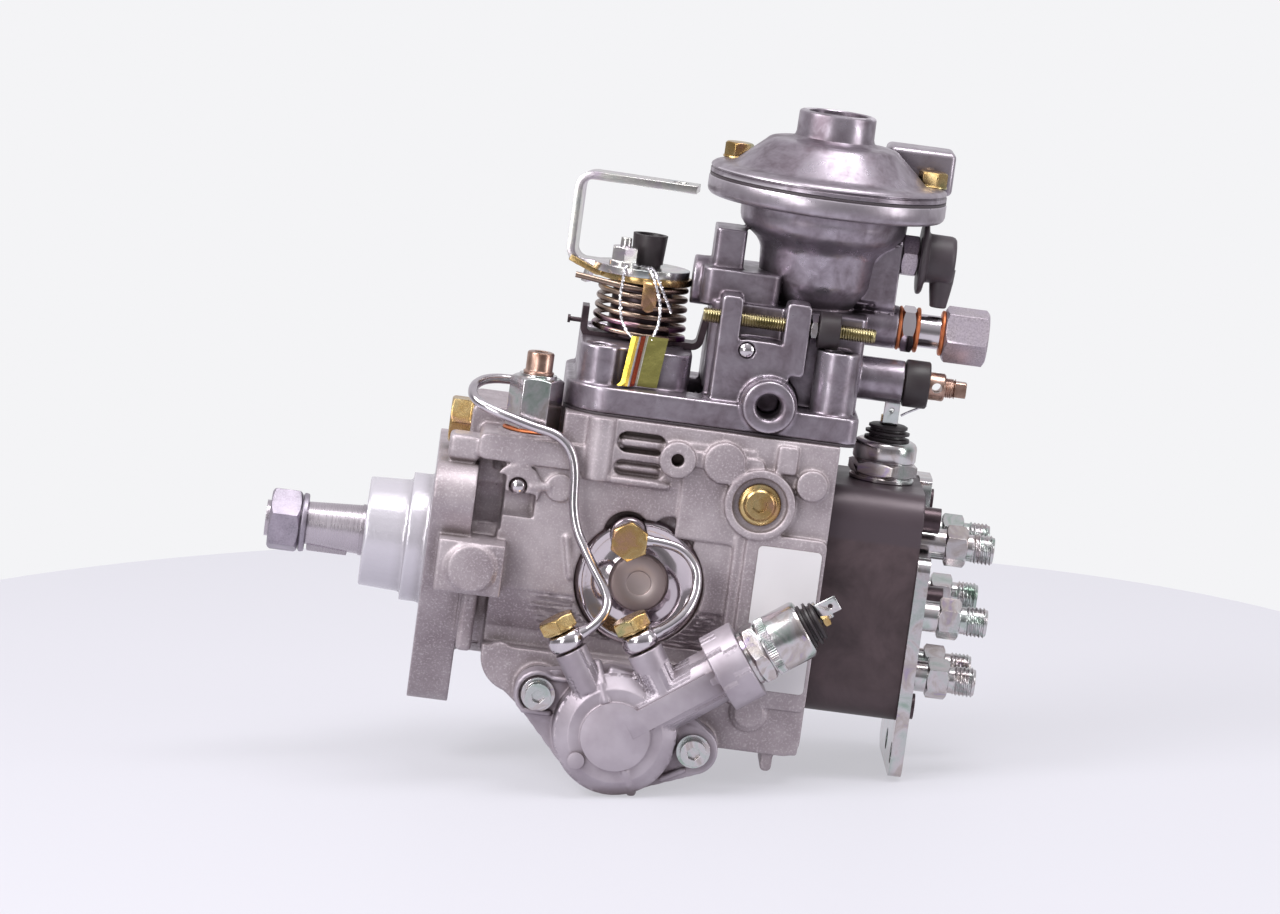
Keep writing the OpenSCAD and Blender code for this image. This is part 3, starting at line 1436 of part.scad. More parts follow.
housing();
shaft_bush();
seals();
supply_pump_ring();
governor_shaft();
distributor_head();
head_screws();
delivery_valve_holders();
rear_bracket();
shutoff_solenoid();
terminals();
governor_cover();
cover_bolts();
boost_cover();
boost_diaphragm();
boost_cover_screws();
boost_spring();
vent_adaptor();
vent_boot();
return_union();
copper_washers();
full_load_screw();
tamper_sleeves();
stop_screw();
pressure_valve();
pressure_valve_screw();
housing_plugs();
ball_plugs();
label();
side_cover();
timing_cover();
timing_cover_far();
timing_spring();
timing_solenoid();
banjo_bolts();
bypass_pipes();
tamper_seal();
plunger_springs();
lever_return_spring();
drive_shaft();
shaft_nut();
shaft_key();
supply_pump_rotor();
drive_gear();
cross_disc();
cam_plate();
plunger();
flyweight_cage();
governor_sleeve();
governor_levers();
governor_spring();
control_sleeve();
roller_ring();
timing_piston();
throttle_shaft();
shaft_cap();
throttle_lever();
spring_plate();
boost_pin();
shutoff_armature();
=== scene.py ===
import math
from contextlib import contextmanager

import bpy
from mathutils import Matrix, Vector


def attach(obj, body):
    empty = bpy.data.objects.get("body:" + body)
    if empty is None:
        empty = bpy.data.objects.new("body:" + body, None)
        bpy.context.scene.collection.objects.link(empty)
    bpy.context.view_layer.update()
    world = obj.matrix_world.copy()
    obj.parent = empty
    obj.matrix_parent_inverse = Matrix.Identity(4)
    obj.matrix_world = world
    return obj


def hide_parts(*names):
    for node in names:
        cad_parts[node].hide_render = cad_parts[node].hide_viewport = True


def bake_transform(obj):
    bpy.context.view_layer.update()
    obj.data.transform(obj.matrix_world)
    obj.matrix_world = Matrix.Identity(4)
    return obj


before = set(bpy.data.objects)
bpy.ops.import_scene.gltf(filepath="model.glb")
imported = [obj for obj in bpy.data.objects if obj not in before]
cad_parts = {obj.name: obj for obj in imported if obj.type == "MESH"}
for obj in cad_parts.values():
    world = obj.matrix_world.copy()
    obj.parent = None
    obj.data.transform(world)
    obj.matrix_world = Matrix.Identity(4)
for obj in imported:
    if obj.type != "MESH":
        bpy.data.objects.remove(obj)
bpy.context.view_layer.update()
bpy.ops.object.select_all(action="DESELECT")


# The camera: a long lens, low and square to the side with the pipes. The pump leans to the right in
# the picture because it rests on its timing cover and on the foot of its rear bracket.


def linked(name, data):
    """A new object in the scene with this data."""
    made = bpy.data.objects.new(name, data)
    bpy.context.scene.collection.objects.link(made)
    return made


camera_data = bpy.data.cameras.new("camera")
camera_data.sensor_width = 36.0
camera_data.lens = 6700 / 1280 * camera_data.sensor_width
camera_data.clip_start, camera_data.clip_end = 0.1, 20.0
camera = linked("camera", camera_data)
camera_right = Vector((0.99094, -0.01410, 0.13354))
camera_up = Vector((-0.13020, 0.14230, 0.98122))
camera_back = camera_right.cross(camera_up)
camera.matrix_world = Matrix((camera_right, camera_up, camera_back)).transposed().to_4x4()
camera.location = (-0.007585, -2.57688, 0.404933)
bpy.context.scene.camera = camera
bpy.context.scene.view_settings.view_transform = "Standard"


# The turntable: a pale laminated board with a rounded far edge, tilted to the frame because the
# pump lies across it. It keeps the shadow and shows its own pale colour.


def linear(hex_colour):
    """An sRGB hex colour as the linear values that the shader takes."""
    parts = [int(hex_colour[i : i + 2], 16) / 255 for i in (1, 3, 5)]
    return tuple(p / 12.92 if p <= 0.04045 else ((p + 0.055) / 1.055) ** 2.4 for p in parts) + (1.0,)


def add(tree, kind, inputs=None, stops=(), **settings):
    """Adds a shader node with its settings, and a ramp with its stops. An input takes a number, a hex
    colour, or the socket that it is linked to."""
    node = tree.nodes.new("ShaderNode" + kind)
    for name, value in settings.items():
        setattr(node, name, value)
    for name, value in (inputs or {}).items():
        if isinstance(value, bpy.types.NodeSocket):
            tree.links.new(value, node.inputs[name])
        else:
            node.inputs[name].default_value = linear(value) if isinstance(value, str) else value
    for spot, colour in stops[1:-1]:
        node.color_ramp.elements.new(spot)
    for element, (spot, colour) in zip(node.color_ramp.elements if stops else (), stops):
        element.position, element.color = spot, linear(colour) if isinstance(colour, str) else colour
    return node


table_slope_x, table_slope_y = 0.125, 0.012
table_start = Vector((0.0803, -0.0618, -0.0787))
rim_x, rim_y, rim_radius = 0.075, 0.160, 0.354


def table_corner(x, y):
    return (x, y, table_start.z + table_slope_x * (x - table_start.x) + table_slope_y * (y - table_start.y))


rim = [
    (rim_x + rim_radius * math.cos(math.radians(a)), rim_y + rim_radius * math.sin(math.radians(a)))
    for a in range(0, 181, 3)
]
outline = [(0.60, -0.7), (0.55, -0.1)] + rim + [(-0.40, -0.1), (-0.45, -0.7)]
table_mesh = bpy.data.meshes.new("turntable")
table_mesh.from_pydata([table_corner(x, y) for x, y in outline], [], [list(range(len(outline)))])
turntable = linked("turntable", table_mesh)
board = bpy.data.materials.new("pale laminate")
board.use_nodes = True
tree = board.node_tree
tree.nodes.clear()
laminate = add(
    tree, "BsdfPrincipled", {"Base Color": "#bbb9c3", "Roughness": 0.5, "Specular IOR Level": 0.2}
)
pale = add(tree, "Emission", {"Color": "#f0eff5", "Strength": 1.0})
share = add(tree, "MixShader", {"Fac": 0.55, 1: laminate.outputs[0], 2: pale.outputs[0]})
add(tree, "OutputMaterial", {"Surface": share.outputs[0]})
turntable.data.materials.append(board)

# The studio: a dim room with a pale ceiling and a white sheet hung behind the pump, so that bright
# metal shows dark fronts and light edges. The camera itself sees plain pale grey.
world = bpy.data.worlds.new("studio")
bpy.context.scene.world = world
world.use_nodes = True
tree = world.node_tree
tree.nodes.clear()
direction = add(tree, "TexCoord").outputs["Generated"]
levels = ((0.47, 0.30), (0.56, 0.20), (0.70, 0.42))
greys = [(spot, (level, level * 0.98, level * 1.02, 1)) for spot, level in levels]
upward = add(tree, "SeparateXYZ", {0: direction}).outputs["Z"]
wall_height = add(
    tree, "Math", {0: upward, 1: 0.5, 2: 0.5}, operation="MULTIPLY_ADD"
).outputs[0]
walls = add(
    tree, "ValToRGB", {"Fac": wall_height},
    stops=[(0.36, (0.50, 0.49, 0.51, 1)), *greys, (0.95, (0.80, 0.79, 0.81, 1))],
).outputs["Color"]
away = add(tree, "SeparateXYZ", {0: direction}).outputs["Y"]
behind = add(
    tree, "MapRange", {"Value": away, "From Min": 0.1, "From Max": 0.7}
).outputs[0]
backdrop = add(
    tree, "Mix", {"Factor": behind, 6: walls, 7: (0.84, 0.83, 0.86, 1)}, data_type="RGBA"
).outputs[2]
room = add(tree, "Background", {"Color": backdrop, "Strength": 0.9})
seen = add(tree, "Background", {"Color": "#f4f4f6", "Strength": 1.0})
rays = add(tree, "LightPath")
switch = add(
    tree, "MixShader", {"Fac": rays.outputs["Is Camera Ray"], 1: room.outputs[0], 2: seen.outputs[0]}
)
add(tree, "OutputWorld", {"Surface": switch.outputs[0]})

# The lamps: a big soft box at the upper left, a long one above, a low one in front and a weak one at
# the right. All of them look at the middle of the pump.
for name, place, width, height, watts in (
    ("left box", (-1.0, -0.65, 0.95), 0.8, 0.8, 21),
    ("top box", (0.25, -0.25, 1.35), 0.9, 0.5, 12),
    ("front box", (-0.75, -1.45, 0.3), 0.45, 0.8, 7),
    ("right box", (1.3, -0.5, 0.45), 0.35, 0.9, 6),
):
    lamp_data = bpy.data.lights.new(name, "AREA")
    lamp_data.shape, lamp_data.size, lamp_data.size_y = "RECTANGLE", width, height
    lamp_data.energy = watts
    lamp = linked(name, lamp_data)
    lamp.location = place
    lamp.rotation_euler = (Vector((0.09, 0, 0.04)) - Vector(place)).to_track_quat("-Z", "Y").to_euler()


# The pump housing: one gravity casting in a silicon aluminium alloy, bead blasted, then bored and faced
# where other pieces seat. The cast skin keeps small round fillets everywhere, its pockets, ribs and
# feet are drawn in the mould, and the neck and pilot ring are turned bright.
def only(piece):
    """Makes one object the selected and active one."""
    bpy.ops.object.select_all(action="DESELECT")
    piece.select_set(True)
    bpy.context.view_layer.objects.active = piece


@contextmanager
def all_selected(piece):
    """Edit mode on one piece, with all of its mesh selected."""
    only(piece)
    bpy.ops.object.mode_set(mode="EDIT")
    bpy.ops.mesh.select_all(action="SELECT")
    yield
    bpy.ops.object.mode_set(mode="OBJECT")


def modified(piece, kind, **settings):
    """Puts a modifier with its settings on a piece and applies it."""
    only(piece)
    modifier = piece.modifiers.new(kind.lower(), kind)
    for name, value in settings.items():
        setattr(modifier, name, value)
    bpy.ops.object.modifier_apply(modifier=modifier.name)


def smooth(degrees):
    """Shades the active piece smooth across edges flatter than an angle."""
    bpy.ops.object.shade_smooth_by_angle(angle=math.radians(degrees))


def round_bar(start, end, radius, far_radius=None, sides=48):
    """A closed round bar or cone between two points, in millimetres."""
    start, end = Vector(start) / 1000, Vector(end) / 1000
    far = radius if far_radius is None else far_radius
    middle, length = (start + end) / 2, (end - start).length
    bpy.ops.mesh.primitive_cone_add(
        vertices=sides, radius1=radius / 1000, radius2=far / 1000, depth=length, location=middle
    )
    piece = bpy.context.object
    piece.rotation_euler = (end - start).to_track_quat("Z", "Y").to_euler()
    bpy.ops.object.transform_apply(location=True, rotation=True, scale=True)
    return piece


def block(low, high, round_by=0.0, segments=3, turn=0.0):
    """A closed box between two corners in millimetres, its edges rounded, turned about its own Y axis."""
    low, high = Vector(low) / 1000, Vector(high) / 1000
    bpy.ops.mesh.primitive_cube_add(size=1, location=(low + high) / 2, scale=high - low)
    piece = bpy.context.object
    piece.rotation_euler = (0, math.radians(turn), 0)
    bpy.ops.object.transform_apply(location=True, rotation=True, scale=True)
    if round_by:
        with all_selected(piece):
            bpy.ops.mesh.bevel(offset=round_by / 1000, segments=segments, affect="EDGES")
    return piece


def ball(centre, radius):
    """A closed round ball, in millimetres."""
    spot = Vector(centre) / 1000
    bpy.ops.mesh.primitive_uv_sphere_add(segments=32, ring_count=16, radius=radius / 1000, location=spot)
    bpy.ops.object.transform_apply(location=True, rotation=True, scale=True)
    return bpy.context.object


def ridge(points, radius):
    """A round-backed rib along a few points: bars with a ball at each corner."""
    parts = [round_bar(a, b, radius, sides=20) for a, b in zip(points, points[1:])]
    return parts + [ball(p, radius) for p in points]


def fuse(base, parts, angle=None):
    """Joins pieces into the base, and shades it smooth up to an angle if one is given."""
    only(base)
    for part in parts:
        part.select_set(True)
    bpy.ops.object.join()
    if angle:
        smooth(angle)
    return base


def combined(base, parts, operation):
    """Works each closed part into the base, one after the other, and removes it."""
    for part in parts:
        modified(base, "BOOLEAN", operation=operation, solver="EXACT", object=part)
        bpy.data.objects.remove(part, do_unlink=True)


def carve(base, *tools):
    """Cuts each tool out of the base."""
    combined(base, tools, "DIFFERENCE")


def unite(base, *parts):
    """Unites closed pieces with the base."""
    combined(base, parts, "UNION")


def lifted(node, name):
    """A CAD node's mesh as a piece of its own, with its loose triangles merged."""
    piece = linked(name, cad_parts[node].data.copy())
    piece.data.materials.clear()
    with all_selected(piece):
        bpy.ops.mesh.remove_doubles(threshold=0.00001)
    return piece


def cast_skin(piece, grain, passes, most):
    """Turns fused solids into one cast skin with soft fillets, and thins it to at most so many triangles."""
    only(piece)
    coarser = 1.0
    piece.data.remesh_voxel_size = grain * coarser / 1000
    piece.data.use_remesh_fix_poles = False
    bpy.ops.object.voxel_remesh()
    modified(piece, "SMOOTH", factor=0.5, iterations=passes)
    triangles = 2 * len(piece.data.polygons)
    if triangles > most:
        modified(piece, "DECIMATE", ratio=most / triangles)
    bpy.ops.object.shade_smooth()


def finished(piece, body, slot_name, material, *nodes):
    """Gives a finished piece its material and its body, and hides the CAD nodes that it stands for. slot_name
    is not used.
    """
    piece.data.materials.clear()
    piece.data.materials.append(material)
    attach(piece, body)
    if nodes:
        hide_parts(*nodes)


def material_named(name):
    """A material with only its shader and its output, its tree, that shader, and the object coordinates."""
    material = bpy.data.materials.new(name)
    material.use_nodes = True
    tree = material.node_tree
    tree.nodes.clear()
    shader = add(tree, "BsdfPrincipled")
    add(tree, "OutputMaterial", {"Surface": shader.outputs[0]})
    return material, tree, shader, add(tree, "TexCoord").outputs["Object"]


def specks(place, scale, edge, share):
    """Round specks: each fades out between two distances, and only cells above two shares have one."""
    tree = place.id_data
    cells = add(tree, "TexVoronoi", {"Vector": place, "Scale": scale})
    spot = add(
        tree, "MapRange",
        {
            "Value": cells.outputs["Distance"], "From Min": edge[0], "From Max": edge[1], "To Min": 1,
            "To Max": 0,
        },
    ).outputs[0]
    speckled = add(
        tree, "MapRange", {"Value": cells.outputs["Color"], "From Min": share[0], "From Max": share[1]}
    ).outputs[0]
    return add(tree, "Math", {0: spot, 1: speckled}, operation="MULTIPLY").outputs[0]


def corner_shaded(colour, dark):
    """Paints shade into a colour: darkens it by ambient occlusion in corners and grooves up to 5 mm wide."""
    tree = colour.id_data
    corner = add(tree, "AmbientOcclusion", {"Distance": 0.005}, samples=6)
    # The share of painted shade, strongest deep in corners and grooves.
    painted_corner_shade = add(
        tree, "MapRange",
        {"Value": corner.outputs["AO"], "From Min": 0.3, "From Max": 0.92, "To Min": 0.85, "To Max": 0},
    ).outputs[0]
    return add(tree, "Mix", {"Factor": painted_corner_shade, 6: colour, 7: dark}, data_type="RGBA").outputs[2]


def coat(shader, colour, roughness, metallic=0.0, reliefs=(), edge=None, samples=4):
    """Links a shader's colour and roughness. A relief is a pattern with its height and strength, and edge
    is the radius, in metres, to which handling and plating have worn the sharp edges."""
    tree = shader.id_data
    tree.links.new(colour, shader.inputs["Base Color"])
    tree.links.new(roughness, shader.inputs["Roughness"])
    shader.inputs["Metallic"].default_value = metallic
    under = {"Normal": add(tree, "Bevel", {"Radius": edge}, samples=samples).outputs[0]} if edge else {}
    for pattern, distance, strength in reliefs:
        bump = add(tree, "Bump", {"Height": pattern, "Distance": distance, "Strength": strength, **under})
        under = {"Normal": bump.outputs[0]}
    if under:
        tree.links.new(under["Normal"], shader.inputs["Normal"])


# Blasted cast aluminium: a warm grey skin that scatters light, with a fine sandy grain, broad cloudy
# tone from the mould wash, and dark specks where blasting left small pores. Where the lathe went,
# on the neck and pilot ring, it is brighter and smoother.
cast_aluminium, tree, shader, place = material_named("cast aluminium, blasted")
grain = add(
    tree, "TexNoise", {"Vector": place, "Scale": 1200, "Detail": 3, "Roughness": 0.6}
).outputs["Fac"]
pore = specks(place, 420, (0.05, 0.16), (0.84, 0.9))
mould_wash = add(
    tree, "TexNoise", {"Vector": place, "Scale": 28, "Detail": 5, "Roughness": 0.62}
).outputs["Fac"]
washed = add(
    tree, "ValToRGB", {"Fac": mould_wash}, stops=[(0.34, "#8a7e84"), (0.66, "#b3a9ae")]
).outputs["Color"]
tone = add(tree, "Mix", {"Factor": pore, 6: washed, 7: "#5c5158"}, data_type="RGBA").outputs[2]
glint = add(
    tree, "MapRange", {"Value": grain, "From Min": 0.52, "From Max": 0.70, "To Max": 0.5}
).outputs[0]
sparkle = add(tree, "Mix", {"Factor": glint, 6: tone, 7: "#d6cdd2"}, data_type="RGBA").outputs[2]
along_shaft = add(tree, "SeparateXYZ", {0: place}).outputs["X"]
on_lathe = add(
    tree, "MapRange",
    {"Value": along_shaft, "From Min": -0.0004, "From Max": 0.0003, "To Min": 1, "To Max": 0},
).outputs[0]
blasted_gloss = add(tree, "MapRange", {"Value": grain, "To Min": 0.40, "To Max": 0.58}).outputs[0]
gloss = add(tree, "Mix", {"Factor": on_lathe, 2: blasted_gloss, 3: 0.27})
dents = add(tree, "Math", {0: grain, 1: pore}, operation="SUBTRACT").outputs[0]
skin_colour = add(tree, "Mix", {"Factor": on_lathe, 6: sparkle, 7: "#c9c5cd"}, data_type="RGBA").outputs[2]
# The skin colour gets painted shade in its corners and grooves, from ambient occlusion.
coat(shader, corner_shaded(skin_colour, "#54463f"), gloss.outputs[0], 0.55, [(dents, 0.00011, 0.6)])

bore_x, bore_z = 80.3, -54.5
housing = lifted("housing", "pump_housing")
shapes = [
    block((93.5, -45.9, 19.5), (121, -44, 57), 0.6),
    block((116.4, -46.6, -26), (122.5, -44, 24.5), 1.0),
    block((128.5, -47.2, 49.5), (136.5, -44, 60.5), 1.0),
    block((139.5, -45.8, -58.5), (151.6, -30, -24), 1.2),
    block((146.6, -47.0, -33), (151.8, -40, -20), 0.8),
    block((16, -45.4, -34.5), (22, -36, -8), 1.6),
    block((3.6, -45.5, 38.6), (15.5, -30, 48.5), 1.8),
    block((53, -46.3, -2), (56, -44, 16), 1.2, turn=-12),
    block((118, -46.2, -43), (121.5, -40, -27), 1.4, turn=20),
    round_bar((130.9, -47.2, -43.7), (130.9, -40, -43.7), 7.4),
    round_bar((130.9, -48.2, -43.7), (130.9, -46, -43.7), 5.8),
    round_bar((17.8, -60, 0.5), (17.8, -64.2, 0.5), 9.3, 8.9),
]
for start, end, radius in (
    ((69.5, -43.6, 53.8), (83.5, -43.6, 53.8), 1.5),
    ((69, -43.2, 44), (84, -43.2, 44), 1.4),
    ((67, -45.6, 39), (88, -45.6, 39), 1.5),
    ((96, -45.4, 50.2), (103, -45.4, 50.4), 1.8),
    ((37, -45.4, 32), (43.5, -45.4, 33), 1.8),
    ((bore_x - 3, -45.2, -31.5), (bore_x - 24, -45.2, -43), 1.3),
    ((bore_x - 3, 45.2, -31.5), (bore_x - 24, 45.2, -43), 1.3),
):
    shapes += ridge([start, end], radius)
fuse(housing, shapes)
cast_skin(housing, 0.8, 5, 195000)
finished(housing, "pump_body", "cast_aluminium", cast_aluminium, "housing")


# The timing cover: a die casting in a lighter aluminium alloy, tumbled to a satin skin. It closes the
# timing bore and carries the solenoid and two pipe unions. A flat bar runs from the round face to the
# solenoid boss, ribs stiffen the dome and the ears, and the bolts sit in spot faces.
satin_casting, tree, shader, place = material_named("die cast aluminium, tumbled satin")
cloud = add(tree, "TexNoise", {"Vector": place, "Scale": 45, "Detail": 4, "Roughness": 0.55}).outputs["Fac"]
satin = add(
    tree, "ValToRGB", {"Fac": cloud}, stops=[(0.35, "#968c95"), (0.66, "#b2a9b2")]
).outputs["Color"]
# Painted shade darkens the satin tone in corners and grooves, from ambient occlusion.
tone = corner_shaded(satin, "#6b5d60")
skin_grain = add(tree, "TexNoise", {"Vector": place, "Scale": 1800, "Detail": 3}).outputs["Fac"]
skin_gloss = add(tree, "MapRange", {"Value": cloud, "To Min": 0.40, "To Max": 0.54}).outputs[0]
coat(shader, tone, skin_gloss, 0.6, [(skin_grain, 0.00004, 0.5)])


def rounded_edges(piece, by, segments=2, over=35):
    """Rounds every edge sharper than an angle, and shades the piece smooth up to it."""
    modified(
        piece, "BEVEL", width=by / 1000, segments=segments, limit_method="ANGLE",
        angle_limit=math.radians(over),
    )
    smooth(38)


def round_about(centre, radius, angle, y):
    """A point on a circle in a plane square to Y, by its radius and angle about a centre in X and Z."""
    turn = math.radians(angle)
    return (centre[0] + radius * math.cos(turn), y, centre[1] + radius * math.sin(turn))


bore, left_bolt, right_bolt = (bore_x, bore_z), (49.5, -44.2), (111.1, -58.4)
timing_cover = lifted("timing_cover", "timing_cover_casting")
carve(timing_cover, block((60, -80, -76.2), (119, -75.1, -16.2), turn=-36))
dome = [(23.9, -60), (23.85, -63), (23.2, -67), (21.0, -70.4), (18.2, -72.8), (15.6, -73.8), (12, -74.2)]
shapes = [
    round_bar((bore_x, near, bore_z), (bore_x, far, bore_z), wide, slim, 96)
    for (wide, near), (slim, far) in zip(dome, dome[1:])
]
for line, radius in (
    ([(bore, 14, 112, -73.4), (bore, 20, 112, -71.6), (bore, 27, 112, -65)], 2.2),
    ([(bore, 14, 293, -73.6), (bore, 19, 293, -72.2), (bore, 23.4, 293, -67)], 2.0),
    ([(left_bolt, 8.3, angle, -62.3) for angle in range(55, 236, 20)], 1.1),
    ([(left_bolt, 8.3, 55, -62.3), (bore, 27, 140, -63.5)], 1.2),
    ([(left_bolt, 8.3, 235, -62.3), (bore, 26, 172, -62.5)], 1.2),
    ([(right_bolt, 8.4, 250, -61.8), (bore, 25.5, 322, -63)], 1.2),
):
    shapes += ridge([round_about(*point) for point in line], radius)
shapes += [block((74, -69.4, -42), (90, -60, -30), 1.5, turn=8)]
for (bolt_x, bolt_z), ear in ((left_bolt, 8.9), (right_bolt, 9.4)):
    for share in (0.0, 0.12, 0.25, 0.4, 0.6, 0.8):
        x, z = bolt_x + (bore_x - bolt_x) * share, bolt_z + (bore_z - bolt_z) * share
        shapes.append(round_bar((x, -53, z), (x, -61.5, z), ear + (24.4 - ear) * share, sides=64))
fuse(timing_cover, shapes)
cast_skin(timing_cover, 0.5, 3, 130000)

# The machined-looking flat of the die: a disc with the bar to the solenoid's boss, and a round bump
# at the lower left. It stands a little proud of the dome, with a fine edge.
flat_face = round_bar((bore_x, -73, bore_z), (bore_x, -75.9, bore_z), 13.2, sides=96)
flat_face.name = "timing_cover_flat"
bar_reach, bar_half, bar_half_width = 25.5, 20, 4.4
bar_x, bar_z = bore_x + 0.809 * bar_reach, -54.0 + 0.588 * bar_reach
bar_low, bar_high = (
    bar_x - bar_half, -75.9, bar_z - bar_half_width
), (bar_x + bar_half, -72.9, bar_z + bar_half_width)
bump_ends = [round_about(bore, 17.4, 219, y) for y in (-72, -75.9)]
unite(flat_face, block(bar_low, bar_high, turn=-36), round_bar(*bump_ends, 3.2))
rounded_edges(flat_face, 0.35)
finished(flat_face, "pump_body", "satin_aluminium", satin_casting)
finished(timing_cover, "pump_body", "satin_aluminium", satin_casting, "timing_cover")
far_cover = lifted("timing_cover_far", "timing_cover_far_side")
cast_skin(far_cover, 0.9, 4, 30000)
finished(far_cover, "pump_body", "satin_aluminium", satin_casting, "timing_cover_far")


# The governor cover: a pressure die casting. Its skin is smoother and darker than the housing, with
# grey flow marks, wiped shiny patches on the rounds, and edges that handling has brightened. Columns
# take the socket screws, a bored boss faces the camera and the bowl carries the boost diaphragm.
die_casting, tree, shader, place = material_named("pressure die cast aluminium")
patch = add(
    tree, "TexNoise", {"Vector": place, "Scale": 130, "Detail": 3, "Roughness": 0.6, "Distortion": 0.4}
).outputs["Fac"]
flow_marks = add(
    tree, "TexNoise", {"Vector": place, "Scale": 40, "Detail": 6, "Roughness": 0.66, "Distortion": 0.9}
).outputs["Fac"]
marks_and_patches = add(tree, "Math", {0: flow_marks, 1: patch}, operation="ADD").outputs[0]
flow = add(tree, "Math", {0: marks_and_patches, 1: 0.5}, operation="MULTIPLY").outputs[0]
worn = add(tree, "NewGeometry").outputs["Pointiness"]
flow_tone = add(
    tree, "ValToRGB", {"Fac": flow}, stops=[(0.36, "#6f636c"), (0.62, "#aaa1ac")]
).outputs["Color"]
rubbed = add(tree, "MapRange", {"Value": worn, "From Min": 0.52, "From Max": 0.60}).outputs[0]
tone = add(tree, "Mix", {"Factor": rubbed, 6: flow_tone, 7: "#cfc8d0"}, data_type="RGBA").outputs[2]
die_grain = add(tree, "TexNoise", {"Vector": place, "Scale": 2200}).outputs["Fac"]
reliefs = [(die_grain, 0.00003, 0.4), (patch, 0.00025, 0.35)]
skin_gloss = add(
    tree, "MapRange", {"Value": flow, "From Min": 0.38, "From Max": 0.62, "To Min": 0.42, "To Max": 0.26}
).outputs[0]
# Painted shade darkens the flow tone in corners and grooves, from ambient occlusion.
coat(shader, corner_shaded(tone, "#3b3135"), skin_gloss, 0.85, reliefs)


def laid(piece, place, along=(1, 0, 0)):
    """Lays a piece made along Z at the origin onto a line from a place, in millimetres."""
    tilt = Vector(along).to_track_quat("Z", "Y").to_matrix().to_4x4()
    piece.data.transform(Matrix.Translation(Vector(place) / 1000) @ tilt)
    return piece


def turned(name, profile, place=(0, 0, 0), along=(0, 0, 1), steps=48, closed=False):
    """A turned piece: a profile of (radius, height) in millimetres, spun about a line from a place."""
    count = len(profile)
    edges = [(k, k + 1) for k in range(count - 1)] + ([(count - 1, 0)] if closed else [])
    mesh = bpy.data.meshes.new(name)
    mesh.from_pydata([(r / 1000, 0, h / 1000) for r, h in profile], edges, [])
    piece = linked(name, mesh)
    with all_selected(piece):
        bpy.ops.mesh.spin(steps=steps, angle=math.tau, center=(0, 0, 0), axis=(0, 0, 1))
        bpy.ops.mesh.select_all(action="SELECT")
        bpy.ops.mesh.remove_doubles(threshold=0.000002)
        bpy.ops.mesh.normals_make_consistent(inside=False)
    laid(piece, place, along)
    smooth(32)
    return piece


bowl_x = 136
governor_cover = lifted("governor_cover", "governor_cover_casting")
shapes = [
    block((97, -27, 73), (123, -22, 104), 1.2),
    block((134, -26, 73), (141, -22, 106), 1.2),
    block((98, -24.6, 104), (121, -20, 121.5), 1.5),
    block((110, -25.5, 107), (114, -18, 127), 1.4),
    block((148.5, -23, 74), (157, -20, 99), 1.2),
]
for start, end, radius in (
    ((60, -34.6, 88), (60, -34.6, 74), 1.5),
    ((49.5, -34, 80), (49.5, -34, 74), 1.2),
    ((110, -23, 121), (107, -20, 131), 2.0),
    ((88, -28.5, 74), (96, -27, 77), 1.6),
):
    shapes += ridge([start, end], radius)
fuse(governor_cover, shapes)
carve(
    governor_cover,
    round_bar((122.6, -48, 74.3), (122.6, -44.4, 74.3), 6.6, 4.7),
    round_bar((122.6, -45, 74.3), (122.6, -26, 74.3), 4.7),
)
cast_skin(governor_cover, 0.8, 4, 190000)
bowl = turned("bowl", [
    (13.1, 106.2), (17.4, 112.6), (21.4, 118.2), (22.2, 120.6), (23.0, 130.6), (23.7, 132.4), (25.1, 134.3),
    (27.0, 135.9), (28.9, 137.2), (30.4, 138.8), (31.7, 140.5), (32.3, 142.5), (32.45, 144.5), (32.5, 147.2),
    (33.1, 148.2), (34.1, 148.6), (43.8, 148.6), (45.0, 149.0), (45.9, 149.9), (46.3, 151.1), (46.3, 155.4),
    (46.0, 155.95), (30, 155.95), (30, 146), (29.6, 142.5), (25, 138), (21, 133), (20.5, 120), (12, 107),
], (bowl_x, 0, 0), steps=120, closed=True)
fuse(governor_cover, [bowl])
finished(governor_cover, "pump_body", "diecast_aluminium", die_casting, "governor_cover")

# The boost cover: a die cast dome with a turned boss on top and an air inlet block at its side. It
# clamps the diaphragm on the bowl's flange, and three screws hold it down in spot faced seats.
boost_screw_angles, boost_screw_circle = (4, 83, 152), 40
seat = [(0, 155), (2.4, 155), (2.4, 161.52), (6.7, 161.52), (6.7, 178), (0, 178)]
cavity = [(0, 156), (30, 156), (30, 163), (21, 170), (0, 170)]
boost_cover = turned("boost_cover_casting", [
    (0, 184), (11.5, 184), (11.5, 185.2), (11.8, 185.5), (13.9, 185.5), (14.7, 185.1), (15, 184.4),
    (15.1, 177), (15.5, 175.6), (16.6, 174.7), (18.5, 174.3), (23.2, 173.9), (24.4, 173.6), (25.4, 173.0),
    (26.4, 172.0), (36.6, 162.9), (37.6, 162.2), (38.8, 161.9), (43.6, 161.6), (44.8, 161.2), (45.7, 160.5),
    (46, 159.8), (45.55, 159.4), (45.55, 159.1), (46, 158.7), (46, 157.4), (45.7, 157.05), (30, 157.05),
    (30, 163), (21, 170), (0, 170),
], (bowl_x, 0, 0), steps=96)
for angle in boost_screw_angles:
    spot = Matrix.Rotation(math.radians(angle), 3, "Z") @ Vector((boost_screw_circle, 0, 0))
    carve(boost_cover, turned("seat", seat, (bowl_x + spot.x, spot.y, 0), steps=40))
unite(boost_cover, block((158, 10.3, 157.8), (184.5, 32, 174.8), 2.2, 4))
carve(
    boost_cover, turned("cavity", cavity, (bowl_x, 0, 0)),
    round_bar((168, 21, 166.5), (186, 21, 166.5), 5.2),
)
rounded_edges(boost_cover, 0.45, 2, 40)
finished(boost_cover, "pump_body", "diecast_aluminium", die_casting, "boost_cover")


